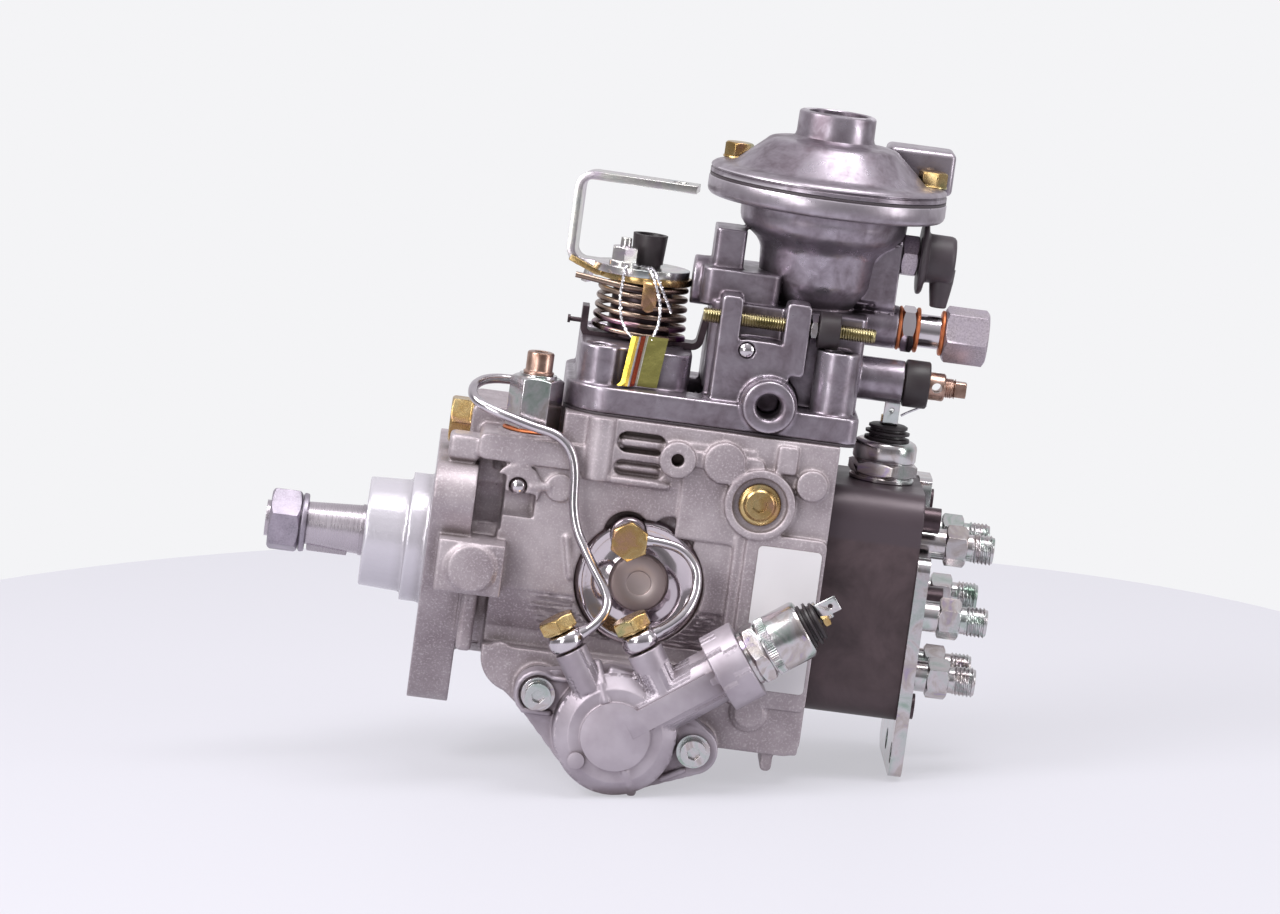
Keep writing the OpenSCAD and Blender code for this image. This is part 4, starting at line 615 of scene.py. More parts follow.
# The throttle lever: a zinc plated steel strip, 13 by 3 mm, pressed to a bow with two bends and clamped
# on the throttle shaft. The far arm has a hole for the rod's joint. Zinc gives it a bright, slightly
# warm mirror skin, softened at the bends, with a touch of the rainbow film of its passivation.
zinc_plate, tree, shader, place = material_named("zinc plated steel, clear passivated")
streak = add(tree, "TexNoise", {"Vector": place, "Scale": 900}).outputs["Fac"]
rainbow = add(
    tree, "TexNoise", {"Vector": place, "Scale": 60, "Detail": 3, "Roughness": 0.6, "Distortion": 0.6}
).outputs["Fac"]
tone = add(
    tree, "ValToRGB", {"Fac": rainbow}, stops=[(0.32, "#bcc4c6"), (0.5, "#d9d7d2"), (0.70, "#c9bccb")]
).outputs["Color"]
skin_gloss = add(tree, "MapRange", {"Value": streak, "To Min": 0.16, "To Max": 0.30}).outputs[0]
coat(shader, tone, skin_gloss, 1.0, [(streak, 0.00001, 0.5)], 0.0004, 6)

shaft_x = 70.5


def turned_about(piece, degrees, y=0):
    """Turns a piece about the throttle shaft's line, and keeps the turn in its mesh."""
    centre = Vector((shaft_x, y, 0)) / 1000
    turn = Matrix.Rotation(math.radians(degrees), 4, "Z")
    piece.data.transform(Matrix.Translation(centre) @ turn @ Matrix.Translation(-centre))
    return piece


def bent_strip(name, start, width, thick, moves):
    """A strip drawn in X and Z: its end face is pushed straight ahead and spun round each bend.
    A move is ("run", length) or ("bend", degrees, inner radius), and a positive bend turns upwards."""
    here, heading = Vector(start) / 1000, Vector((-1, 0, 0))
    bpy.ops.mesh.primitive_plane_add(size=1, location=here, rotation=(0, math.radians(-90), 0))
    strip = bpy.context.object
    strip.name = name
    strip.scale = (thick / 1000, width / 1000, 1)
    bpy.ops.object.transform_apply(location=True, rotation=True, scale=True)
    with all_selected(strip):
        for move in moves:
            if move[0] == "run":
                step = heading * move[1] / 1000
                bpy.ops.mesh.extrude_region_move(TRANSFORM_OT_translate={"value": step})
                here = here + step
            else:
                turn, reach = math.radians(move[1]), move[2] / 1000 + thick / 2000
                inward = Vector((heading.z, 0, -heading.x)) * (1 if turn > 0 else -1)
                centre = here + inward * reach
                bpy.ops.mesh.spin(steps=10, angle=-turn, center=centre, axis=(0, 1, 0), dupli=False)
                spun = Matrix.Rotation(turn, 4, "Y")
                here = centre + spun @ (here - centre)
                heading = spun @ heading
        bpy.ops.mesh.select_all(action="SELECT")
        bpy.ops.mesh.remove_doubles(threshold=0.000001)
        bpy.ops.mesh.normals_make_consistent(inside=False)
    return strip


bow = [("run", 19.5), ("bend", 90, 4), ("run", 23), ("bend", 90, 4), ("run", 40)]
throttle_lever = bent_strip("throttle_lever_strip", (66, 0, 115.4), 13, 3, bow)
carve(throttle_lever, round_bar((79.5, 0, 146), (79.5, 0, 153), 3.1))
turned_about(throttle_lever, -8)
clip = bent_strip("clip", (56, 0, 115.3), 5, 2.0, [("run", 6.5), ("bend", -78, 1.6), ("run", 6.5)])
turned_about(clip, -26)
unite(
    throttle_lever,
    round_bar((shaft_x, 0, 113.9), (shaft_x, 0, 117.0), 17, sides=96),
    round_bar((67.4, -0.6, 113.95), (67.4, -0.6, 116.95), 17.4, sides=96),
    clip,
)
rounded_edges(throttle_lever, 0.55, 3)
finished(throttle_lever, "throttle", "clear_zinc", zinc_plate, "throttle_lever")


def hex_bar(name, start, end, across, both=False, turn=0):
    """A hexagon bar between two points, turned to a chamfer at its far end or at both ends."""
    line = Vector(end) - Vector(start)
    length = line.length
    corner = across / math.sqrt(3)
    wide, slim = corner + 0.05, across / 2 * 0.96
    drop = (wide - slim) * 0.6
    piece = round_bar((0, 0, 0), (0, 0, length), corner, sides=6)
    piece.name = name
    low = [(0, 0), (slim, 0), (wide, drop)] if both else [(0, 0), (wide, 0)]
    combined(
        piece, [turned("envelope", low + [(wide, length - drop), (slim, length), (0, length)])], "INTERSECT"
    )
    tilt = line.to_track_quat("Z", "Y").to_matrix().to_4x4()
    piece.data.transform(
        Matrix.Translation(Vector(start) / 1000) @ tilt @ Matrix.Rotation(math.radians(turn), 4, "Z")
    )
    smooth(20)
    return piece


# The lever's clamp nut with its collar, on a threaded pin: bright zinc.
nut_x, nut_y = 61.2, -10.4
clamp_nut = hex_bar("lever_clamp_nut", (nut_x, nut_y, 118.6), (nut_x, nut_y, 124.6), 9.4)
unite(
    clamp_nut,
    round_bar((nut_x, nut_y, 116.9), (nut_x, nut_y, 118.9), 5.6),
    round_bar((nut_x, nut_y, 119), (nut_x, nut_y, 128), 2.3, 2.1, 32),
)
rounded_edges(clamp_nut, 0.2)
finished(clamp_nut, "throttle", "clear_zinc", zinc_plate)

# The cap on the throttle shaft: a moulded black plastic plug with a rolled rim, a shallow recess and a
# slit at its side.
black_plastic, tree, shader, place = material_named("moulded nylon, black")
cloud = add(tree, "TexNoise", {"Vector": place, "Scale": 120}).outputs["Fac"]
relief = (add(tree, "TexNoise", {"Vector": place, "Scale": 1500}).outputs["Fac"], 0.00003, 0.5)
skin_colour = add(tree, "Mix", {"Factor": cloud, 6: "#1f191c", 7: "#332a2e"}, data_type="RGBA").outputs[2]
skin_gloss = add(tree, "MapRange", {"Value": cloud, "To Min": 0.36, "To Max": 0.56}).outputs[0]
coat(shader, skin_colour, skin_gloss, 0.0, [relief], 0.0003)

cap = round_bar((shaft_x, 0, 118.2), (shaft_x, 0, 129.4), 6.1, 6.8, 64)
cap.name = "throttle_shaft_cap"
carve(
    cap,
    round_bar((shaft_x, 0, 127.4), (shaft_x, 0, 130), 5.0, 5.3, 48),
    block((62, -1, 124), (65.2, 0.8, 131), 0.2),
)
unite(cap, round_bar((shaft_x, 0, 117.0), (shaft_x, 0, 119), 5.4, sides=48))
rounded_edges(cap, 0.5, 3)
finished(cap, "throttle", "black_plastic", black_plastic, "shaft_cap")

# The spring plate: yellow passivated steel, pressed, with one tongue bent down over the spring and
# one that reaches out to the left. The passivation gives it a gold skin that turns green and pink.
yellow_zinc, tree, shader, place = material_named("zinc plated steel, yellow passivated")
film = add(
    tree, "TexNoise", {"Vector": place, "Scale": 70, "Detail": 4, "Roughness": 0.6, "Distortion": 0.8}
).outputs["Fac"]
streak = add(tree, "TexNoise", {"Vector": place, "Scale": 700}).outputs["Fac"]
tone = add(
    tree, "ValToRGB", {"Fac": film},
    stops=[(0.30, "#9c9a6e"), (0.42, "#c3ab7c"), (0.56, "#b3935f"), (0.72, "#b58d78")],
).outputs["Color"]
skin_gloss = add(tree, "MapRange", {"Value": streak, "To Min": 0.18, "To Max": 0.34}).outputs[0]
coat(shader, tone, skin_gloss, 1.0, [(streak, 0.00001, 0.5)], 0.00035)

spring_plate = round_bar((shaft_x, 0, 111.5), (shaft_x, 0, 113.9), 18, sides=96)
spring_plate.name = "spring_plate_pressing"
near_moves = [("run", 6.7), ("bend", -90, 1.2), ("run", 8.4)]
near_tongue = bent_strip("near_tongue", (60, -2.1, 112.7), 5.8, 2.2, near_moves)
carve(near_tongue, block((48, -8, 99), (54, -4.1, 103.4)), block((48, -0.1, 99), (54, 4, 103.4)))
unite(near_tongue, round_bar((49.9, -2.1, 103.4), (52.1, -2.1, 103.4), 2.1, sides=32))
turned_about(near_tongue, 90)
left_tongue = bent_strip("left_tongue", (58, -2, 112.7), 7, 2.2, [("run", 6), ("bend", 22, 2), ("run", 11)])
unite(spring_plate, near_tongue, left_tongue)
carve(spring_plate, round_bar((shaft_x, 0, 110), (shaft_x, 0, 115), 5.1))
rounded_edges(spring_plate, 0.4)
finished(spring_plate, "throttle", "gold_zinc", yellow_zinc, "spring_plate")


def wire(name, points, radius, sides=4, curved=True):
    """A wire through points in millimetres, as a closed mesh."""
    curve_data = bpy.data.curves.new(name, "CURVE")
    curve_data.dimensions, curve_data.resolution_u = "3D", 4
    curve_data.bevel_depth, curve_data.bevel_resolution, curve_data.use_fill_caps = radius / 1000, sides, True
    line = curve_data.splines.new("NURBS" if curved else "POLY")
    line.points.add(len(points) - 1)
    for spot, place in zip(line.points, points):
        spot.co = (*(Vector(place) / 1000), 1)
    if curved:
        line.order_u, line.use_endpoint_u = 4, True
    piece = linked(name, curve_data)
    only(piece)
    bpy.ops.object.convert(target="MESH")
    smooth(50)
    return piece


# The lever return spring: nearly six turns of oil tempered wire round the shaft's boss, a little wider
# at the bottom. The oil film is brown and gold, and heat has turned the lowest turns purple.
tempered_wire, tree, shader, place = material_named("spring steel, oil tempered")
film = add(tree, "TexNoise", {"Vector": place, "Scale": 90}).outputs["Fac"]
wire_height = add(tree, "SeparateXYZ", {0: place}).outputs["Z"]
lowest_turns = add(
    tree, "MapRange",
    {"Value": wire_height, "From Min": 0.091, "From Max": 0.098, "To Min": 1, "To Max": 0},
).outputs[0]
heat_patches = add(tree, "MapRange", {"Value": film, "From Min": 0.46, "From Max": 0.54}).outputs[0]
heat = add(tree, "Math", {0: lowest_turns, 1: heat_patches}, operation="MULTIPLY").outputs[0]
oiled = add(
    tree, "Mix", {"Factor": film, 6: "#6d5a50", 7: "#b9a596"}, data_type="RGBA"
).outputs[2]
skin_colour = add(
    tree, "Mix", {"Factor": heat, 6: oiled, 7: "#93389a"}, data_type="RGBA"
).outputs[2]
skin_gloss = add(tree, "MapRange", {"Value": film, "To Min": 0.2, "To Max": 0.36}).outputs[0]
coat(shader, skin_colour, skin_gloss, 1.0)

turns, steps_a_turn, low_z, high_z = 5.6, 24, 90.4, 109.6
wide_reach, drawn_in = 17.7, 1.2
lying_share, rising_share = 0.04, 0.93
steps = turns * steps_a_turn
coil = []
for step in range(int(steps) + 1):
    share = step / steps
    angle = math.radians(270 + (steps - step) * 360 / steps_a_turn)
    reach = wide_reach - drawn_in * share
    rise = low_z + (high_z - low_z) * min(1.0, max(0.0, (share - lying_share) / rising_share))
    coil.append((shaft_x + reach * math.cos(angle), reach * math.sin(angle), rise))
coil += [(63, -16.6, 109.8), (55, -16.2, 110.6), (47, -15.6, 111.6), (43.4, -15.4, 111.9)]
return_spring = wire("lever_return_spring_wire", coil, 1.15)
finished(return_spring, "pump_body", "spring_steel", tempered_wire, "lever_return_spring")

# The spring's seat: black oxide steel, bent up at the left to hold the spring's lower end with a pin,
# and at the right to meet the idle screw. The guide inside it is a turned sleeve on the shaft's boss.
black_oxide, tree, shader, place = material_named("steel, black oxide")
film = add(tree, "TexNoise", {"Vector": place, "Scale": 110, "Detail": 4, "Roughness": 0.6}).outputs["Fac"]
skin_colour = add(tree, "Mix", {"Factor": film, 6: "#2b2326", 7: "#6a5a60"}, data_type="RGBA").outputs[2]
skin_gloss = add(tree, "MapRange", {"Value": film, "To Min": 0.26, "To Max": 0.46}).outputs[0]
coat(shader, skin_colour, skin_gloss, 0.8, edge=0.0004)

seat = bent_strip("spring_seat", (84, -4, 88.9), 11, 2.6, [("run", 32), ("bend", 90, 1.4), ("run", 8)])
stop_tab = bent_strip("stop_tab", (58, -2, 88.9), 11, 2.6, [("run", 8.6), ("bend", 82, 1.8), ("run", 10)])
unite(
    seat,
    turned_about(stop_tab, 180, -2),
    round_bar((42.8, -5, 93.4), (48.5, -5, 93.4), 0.9, sides=20),
    round_bar((42.8, -5, 93.4), (43.8, -5, 93.4), 1.6, sides=20),
)
rounded_edges(seat, 0.5)
finished(seat, "pump_body", "black_steel", black_oxide)
guide = round_bar((shaft_x, 0, 88.6), (shaft_x, 0, 110.9), 12.2, 11.6, 64)
guide.name = "spring_guide"
carve(guide, round_bar((shaft_x, 0, 85), (shaft_x, 0, 113), 5.4))
rounded_edges(guide, 0.8)
finished(guide, "pump_body", "black_steel", black_oxide)

# The wire seal: pairs of bright steel wire twisted together, from the lever down to a folded tag of
# yellow plated sheet with a painted stripe.
bright_wire, tree, shader, place = material_named("stainless wire, drawn bright")
shine = add(tree, "TexNoise", {"Vector": place, "Scale": 600}).outputs["Fac"]
skin_colour = add(tree, "Mix", {"Factor": shine, 6: "#d2d0d6", 7: "#f4f2f6"}, data_type="RGBA").outputs[2]
skin_gloss = add(tree, "MapRange", {"Value": shine, "To Min": 0.12, "To Max": 0.3}).outputs[0]
coat(shader, skin_colour, skin_gloss, 1.0)


def along_points(points, count):
    """Evenly spread points on a smooth line through a few given ones."""
    points = [Vector(p) for p in points]
    points = [2 * points[0] - points[1]] + points + [2 * points[-1] - points[-2]]
    spread = []
    for step in range(count):
        reach = step / (count - 1) * (len(points) - 3)
        part = min(int(reach), len(points) - 4)
        t = reach - part
        a, b, c, d = points[part : part + 4]
        straight, bend, twist = c - a, 2 * a - 5 * b + 4 * c - d, 3 * b - a - 3 * c + d
        spread.append(0.5 * (2 * b + straight * t + bend * t * t + twist * t**3))
    return spread


strand_radius, strand_offset, twist_a_point = 0.34, 0.38, 0.9
strands = []
for path in (
    [
        (64.5, -9, 117.7), (62.2, -17.2, 117.7), (61.6, -20.6, 112), (61.6, -23.5, 105), (63.6, -27.5, 97),
        (68.6, -32.2, 91.5),
    ],
    [
        (67.0, -9, 117.7), (71.0, -17.2, 117.7), (74.2, -20.8, 113), (77.0, -23.6, 105), (77.2, -27.4, 98.5),
        (75.4, -32.1, 92.6),
    ],
    [(68.6, -9, 117.8), (72.8, -17.2, 117.8), (76.0, -20.9, 113), (79.0, -22.4, 107.6), (81.6, -23.2, 102.9)],
):
    middle_line = along_points(path, 90)
    for phase in (0, math.pi):
        points = []
        for step, spot in enumerate(middle_line):
            twist = phase + step * twist_a_point
            round_line = Vector((math.cos(twist), math.sin(twist) * 0.8, math.sin(twist) * 0.6))
            points.append(spot + strand_offset * round_line)
        strands.append(wire("strand", points, strand_radius, 1, curved=False))
seal_wire = strands[0]
seal_wire.name = "seal_wire"
fuse(seal_wire, strands[1:])
seal_wire.data.materials.clear()
seal_wire.data.materials.append(bright_wire)
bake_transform(seal_wire)

seal_foil, tree, shader, place = material_named("tag, plated sheet with a painted stripe")
tag_height = add(tree, "SeparateXYZ", {0: place}).outputs["Z"]
tag_slant = add(
    tree, "Math", {0: tag_height, 1: -0.10, 2: 0.0084}, operation="MULTIPLY_ADD"
).outputs[0]
tag_across = add(tree, "SeparateXYZ", {0: place}).outputs["X"]
slanted = add(tree, "Math", {0: tag_across, 1: tag_slant}, operation="ADD").outputs[0]
stripe_place = add(tree, "MapRange", {"Value": slanted, "From Min": 0.066, "From Max": 0.082}).outputs[0]
stripe = add(
    tree, "ValToRGB", {"Fac": stripe_place},
    stops=[(0, "#d9bb4e"), (0.20, "#eceae6"), (0.25, "#c8574e"), (0.37, "#f0eeea"), (0.43, "#a9a45f")],
).outputs["Color"]
stripe.node.color_ramp.interpolation = "CONSTANT"
crumple = add(tree, "TexNoise", {"Vector": place, "Scale": 160, "Detail": 3}).outputs["Fac"]
skin_gloss = add(tree, "MapRange", {"Value": crumple, "To Min": 0.14, "To Max": 0.34}).outputs[0]
coat(shader, stripe, skin_gloss, 0.9, [(crumple, 0.0006, 0.35)])

fold = [
    (66.4, -37.6), (68.0, -38.0), (69.8, -36.6), (71.2, -34.0), (72.6, -32.4), (76.6, -32.0), (80.6, -31.6)
]
tag_size, tag_left, tag_z = 0.020, 0.0635, 0.084
middle = (tag_left + tag_size / 2, -0.033, tag_z)
bpy.ops.mesh.primitive_plane_add(size=tag_size, location=middle, rotation=(math.radians(90), 0, 0))
tag = bpy.context.object
tag.name = "seal_tag"
bpy.ops.object.transform_apply(location=True, rotation=True, scale=True)
with all_selected(tag):
    bpy.ops.mesh.subdivide(number_cuts=11)
for spot in tag.data.vertices:
    reach = (spot.co.x - tag_left) / tag_size * (len(fold) - 1)
    part = min(int(reach), len(fold) - 2)
    flat = Vector(fold[part]).lerp(Vector(fold[part + 1]), reach - part) / 1000
    rise = spot.co.z - tag_z
    bent_corner = 0.0012 if rise < -0.0085 and reach < 1 else 0
    spot.co = (flat.x + 0.10 * rise - bent_corner, flat.y, tag_z + rise * 0.98)
modified(tag, "SOLIDIFY", thickness=0.0005, offset=0)
smooth(30)
finished(tag, "pump_body", "gold_zinc", seal_foil, "tamper_seal")


# The bypass pipes: steel tube of 3.8 mm, bent, brazed into round banjo eyes, then polished and zinc
# plated. Banjo bolts with yellow passivated heads hold them to the timing cover and the side cover.
bright_tube, tree, shader, place = material_named("steel tube, polished and zinc plated")
cloud = add(
    tree, "TexNoise", {"Vector": place, "Scale": 90, "Detail": 3, "Roughness": 0.6, "Distortion": 0.5}
).outputs["Fac"]
skin_colour = add(tree, "Mix", {"Factor": cloud, 6: "#b3acb4", 7: "#dcd6da"}, data_type="RGBA").outputs[2]
skin_gloss = add(tree, "MapRange", {"Value": cloud, "To Min": 0.10, "To Max": 0.26}).outputs[0]
coat(shader, skin_colour, skin_gloss, 1.0, [(cloud, 0.0002, 0.2)])


def banjo_seat(x, y, z, degrees, letter, drop):
    """Where a banjo fitting's foot lies, and which way it points."""
    turn = Matrix.Rotation(math.radians(degrees), 4, letter)
    return Matrix.Translation(Vector((x, y, z)) / 1000) @ turn @ Matrix.Translation((0, 0, -drop / 1000))


side_fitting_x, side_fitting_z, half_eye = 76.2, 18.6, 4.1
banjo_seats = [banjo_seat(x, -68, z, -33, "Y", half_eye) for x, z in ((57.2, -21.4), (85, -17.7))]
banjo_seats.append(banjo_seat(side_fitting_x, -50.4, side_fitting_z, 90, "X", 0))


def repeated(piece, places):
    """A piece repeated at each place, given as a matrix, and joined; the first one goes."""
    name, copies = piece.name, []
    for spot in places:
        copies.append(linked(name, piece.data.copy()))
        copies[-1].data.transform(spot)
    bpy.data.objects.remove(piece, do_unlink=True)
    copies[0].name = name
    return fuse(copies[0], copies[1:])


front_pipe = [
    (37, -15, 62.9), (36.5, -15.8, 65.4), (34, -17.6, 67.4), (29.5, -19.8, 69), (24, -22, 69),
    (18.5, -24.5, 69), (14, -28, 68.4), (11, -32.5, 67), (10, -37, 65.4), (10.6, -41.5, 63.4),
    (14, -45, 61.2), (21, -47.4, 59), (33, -48.6, 56), (42, -49.4, 54.2), (47.4, -50, 51.2),
    (50.6, -50.6, 46.6), (52.4, -51.2, 40), (53.6, -52, 28), (56, -53.4, 19.4), (60, -55.4, 12.4),
    (64.6, -57.8, 5.6), (68.6, -60.6, 0), (70.8, -63, -4.6), (70.6, -65, -8.6), (68.6, -66.8, -12.4),
    (65.2, -67.8, -16), (61, -68, -18.9),
]
back_pipe = [
    (88.8, -68, -15.2), (92.6, -67.8, -12.8), (96.8, -66.6, -9.6), (100.6, -64.4, -5.4), (103.2, -61.4, -0.4),
    (104, -58.6, 5), (102.8, -56.6, 10.6), (99.4, -55.4, 15), (94.6, -54.8, 17.6), (88, -54.5, 18.6),
    (80.8, -54.5, 18.6),
]
pipes = wire("bypass_pipes_bent", along_points(front_pipe, 150), 1.9, 5, curved=False)
parts = [wire("back_pipe", along_points(back_pipe, 80), 1.9, 5, curved=False)]
half_ring = [(2.9, 0.4), (4.7, 0.4), (5.7, 0.75), (6.45, 1.5), (6.95, 2.7)]
ring = half_ring + [(7.1, half_eye)] + [(radius, 2 * half_eye - rise) for radius, rise in reversed(half_ring)]
parts.append(repeated(turned("eye", ring, closed=True), banjo_seats))
collar_behind, collar_ahead = 1.0, 4.6
for start, after in (
    (front_pipe[-1], front_pipe[-2]), (back_pipe[0], back_pipe[1]), (back_pipe[-1], back_pipe[-2]),
):
    start = Vector(start)
    ahead = (Vector(after) - start).normalized()
    parts.append(round_bar(start - ahead * collar_behind, start + ahead * collar_ahead, 3.1, 2.2, 32))
fuse(pipes, parts, 40)
finished(pipes, "pump_body", "clear_zinc", bright_tube, "bypass_pipes")

head = hex_bar("banjo_bolt_heads", (0, 0, 9.2), (0, 0, 14.0), 13.4)
rounded_edges(head, 0.25)
shank = [(0, -8), (2.7, -8), (2.8, 8.2), (6.2, 8.2), (6.7, 8.6), (6.7, 9.0), (6.3, 9.35), (0, 9.4)]
fuse(head, [turned("shank", shank)])
finished(repeated(head, banjo_seats), "pump_body", "gold_zinc", yellow_zinc, "banjo_bolts")

# The side cover: a pressed and burnished steel dish in the near wall. Its wide round lip is polished
# like a mirror, and the middle, where the third fitting sits, is left matt and a little brown.
to_front = (0, -1, 0)
burnished, tree, shader, place = material_named("pressed steel, burnished and zinc plated")
centre = add(tree, "Mapping", {0: place, "Location": (-0.0825, 0.0, 0.0)})
flat = add(tree, "VectorMath", {0: centre.outputs[0], 1: (1.0, 0.0, 1.0)}, operation="MULTIPLY")
reach = add(tree, "VectorMath", {0: flat.outputs[0]}, operation="LENGTH").outputs["Value"]
swirl = add(tree, "TexNoise", {"Vector": place, "Scale": 35, "Detail": 3, "Distortion": 1.2}).outputs["Fac"]
inner = add(
    tree, "MapRange", {"Value": reach, "From Min": 0.0112, "From Max": 0.0118, "To Min": 1, "To Max": 0}
).outputs[0]
browning = add(tree, "MapRange", {"Value": reach, "From Min": 0.0044, "From Max": 0.0104}).outputs[0]
matt = add(tree, "Mix", {"Factor": browning, 6: "#b5a8a7", 7: "#9a8a88"}, data_type="RGBA").outputs[2]
polished = add(tree, "Mix", {"Factor": swirl, 6: "#a79ba4", 7: "#e2dadd"}, data_type="RGBA").outputs[2]
tone = add(tree, "Mix", {"Factor": inner, 6: polished, 7: matt}, data_type="RGBA").outputs[2]
skin_gloss = add(tree, "MapRange", {"Value": inner, "To Min": 0.09, "To Max": 0.46}).outputs[0]
coat(shader, tone, skin_gloss, 1.0, [(swirl, 0.0006, 0.2)])

dish = turned("side_cover_dish", [
    (0, 0), (24.5, 0), (24.7, 0.6), (24.3, 1.3), (23.4, 1.9), (22.6, 2.05), (21.6, 1.9), (20.3, 1.5),
    (18.5, 1.05), (16.4, 0.85), (14.2, 1.0), (12.6, 1.4), (11.6, 1.7), (11.1, 2.4), (10.8, 4.2),
    (10.4, 4.8), (9.6, 5.0), (5.2, 5.0), (4.8, 4.8), (4.6, 4.3), (3.0, 4.1), (0, 4.1),
], (82.5, -38, 0), to_front, 96)
boss = [(3, -3), (7.2, -3), (7.2, 11.2), (6.8, 12.1), (3, 12.1)]
seat_boss = turned("seat", boss, (side_fitting_x, -38, side_fitting_z), to_front, 40, closed=True)
carve(dish, round_bar((side_fitting_x, -47, side_fitting_z), (side_fitting_x, -37, side_fitting_z), 5))
fuse(dish, [seat_boss], 40)
finished(dish, "pump_body", "clear_zinc", burnished, "side_cover")

# The plugs of the housing: a flanged hexagon plug in the front block, and in the round recess a plug
# with a wide washer face and a hexagon socket. Both are yellow passivated steel.
inlet_plug = hex_bar("inlet_plug", (11, -4, 48.6), (2.8, -4, 48.6), 17, turn=30)
rounded_edges(inlet_plug, 0.3)
foot = [(0, 0), (9.4, 0), (9.4, 0.6), (8.9, 1.0), (5, 1.0), (5, 9), (0, 9)]
face = [(0, 0), (9.4, 0), (9.7, 0.5), (9.2, 1.0), (0, 1.0)]
inner_face = turned("face", face, (11.6, -4, 48.6), (-1, 0, 0))
fuse(inlet_plug, [turned("foot", foot, (11.9, -4, 48.6), (1, 0, 0)), inner_face])
finished(inlet_plug, "pump_body", "gold_zinc", yellow_zinc, "housing_plugs")
wall_plug = turned("wall_plug", [
    (0, 0), (5, 0), (5, 6), (7.9, 6), (8.1, 6.4), (8.1, 7.6), (7.6, 8.1), (6.4, 8.4), (5.6, 9.3), (5.2, 9.6),
    (0, 9.6),
], (124.2, -39, 36.8), to_front)
carve(wall_plug, round_bar((124.2, -49, 36.8), (124.2, -46.6, 36.8), 3.0, sides=6))
finished(wall_plug, "pump_body", "gold_zinc", yellow_zinc)

# The steel balls that seal drilled channels, pressed in and staked.
large_ball = [(0, 0), (2.2, 0.35), (3.2, 1.3), (3.6, 2.8), (3.4, 4.2), (2.6, 5.3), (1.4, 6.0), (0, 6.2)]
small_ball = [(0, 0), (2.2, 0.35), (3.0, 1.6), (3.1, 3), (2.6, 4.4), (1.5, 5.2), (0, 5.5)]
balls = turned("sealing_balls", large_ball, (31.7, -40.2, 31.7), to_front)
fuse(balls, [turned("ball", small_ball, (111.6, -33.4, 94), to_front)])
bpy.ops.object.shade_smooth()
finished(balls, "pump_body", "steel", bright_tube, "ball_plugs")

# The sticker on the raised pad: matt white polyester film, bare, with round corners.
sticker_film, tree, shader, place = material_named("polyester label film, matt white")
fibre = add(tree, "TexNoise", {"Vector": place, "Scale": 800}).outputs["Fac"]
faint_clouds = add(tree, "TexNoise", {"Vector": place, "Scale": 30}).outputs["Fac"]
tone = add(tree, "Mix", {"Factor": faint_clouds, 6: "#c6c2c6", 7: "#d8d5d8"}, data_type="RGBA").outputs[2]
skin_gloss = add(tree, "MapRange", {"Value": fibre, "To Min": 0.42, "To Max": 0.55}).outputs[0]
coat(shader, tone, skin_gloss, 0.0, [(fibre, 0.00002, 0.4)])

middle = (0.13825, -0.04818, -0.00625)
bpy.ops.mesh.primitive_plane_add(size=1, location=middle, rotation=(math.radians(90), 0, 0))
sticker = bpy.context.object
sticker.name = "sticker"
sticker.scale = (0.0245, 0.0555, 1)
bpy.ops.object.transform_apply(location=True, rotation=True, scale=True)
with all_selected(sticker):
    bpy.ops.mesh.bevel(offset=0.0018, segments=6, affect="VERTICES")
    bpy.ops.mesh.select_all(action="SELECT")
    bpy.ops.mesh.normals_make_consistent(inside=False)
modified(sticker, "SOLIDIFY", thickness=0.0003, offset=0)
finished(sticker, "pump_body", "label", sticker_film, "label")


# The timing solenoid: a turned steel socket with a hexagon and a knurled neck, and a drawn can crimped
# over the coil. All of it is zinc plated with a blue passivation that turns green and purple.
blue_zinc, tree, shader, place = material_named("zinc plated steel, blue passivated")
film = add(
    tree, "TexNoise", {"Vector": place, "Scale": 85, "Detail": 3, "Roughness": 0.55, "Distortion": 1.2}
).outputs["Fac"]
streak = add(tree, "TexNoise", {"Vector": place, "Scale": 1100}).outputs["Fac"]
tone = add(
    tree, "ValToRGB", {"Fac": film},
    stops=[(0.28, "#9fb0a6"), (0.42, "#bfc3c2"), (0.52, "#c9c3c6"), (0.62, "#b9b0ad"), (0.74, "#a99bb6")],
).outputs["Color"]
skin_gloss = add(tree, "MapRange", {"Value": streak, "To Min": 0.14, "To Max": 0.28}).outputs[0]
coat(shader, tone, skin_gloss, 1.0, [(streak, 0.00001, 0.5)], 0.0003)

solenoid_turn = Matrix.Translation((0.0803, -0.065, -0.0533)) @ Matrix.Rotation(math.radians(54), 4, "Y")


def knurled(name, low, high, radius, ridges, depth):
    """A short neck with upright ridges, from a star-shaped prism with its ends closed."""
    bpy.ops.mesh.primitive_cylinder_add(
        vertices=ridges * 2, radius=radius / 1000, depth=(high - low) / 1000,
        location=(0, 0, (low + high) / 2000)
    )
    neck = bpy.context.object
    neck.name = name
    bpy.ops.object.transform_apply(location=True, rotation=True, scale=True)
    for count, spot in enumerate(neck.data.vertices):
        if (count // 2) % 2:
            sunk = 1 - depth / 1000 / math.hypot(spot.co.x, spot.co.y)
            spot.co.x *= sunk
            spot.co.y *= sunk
    return neck


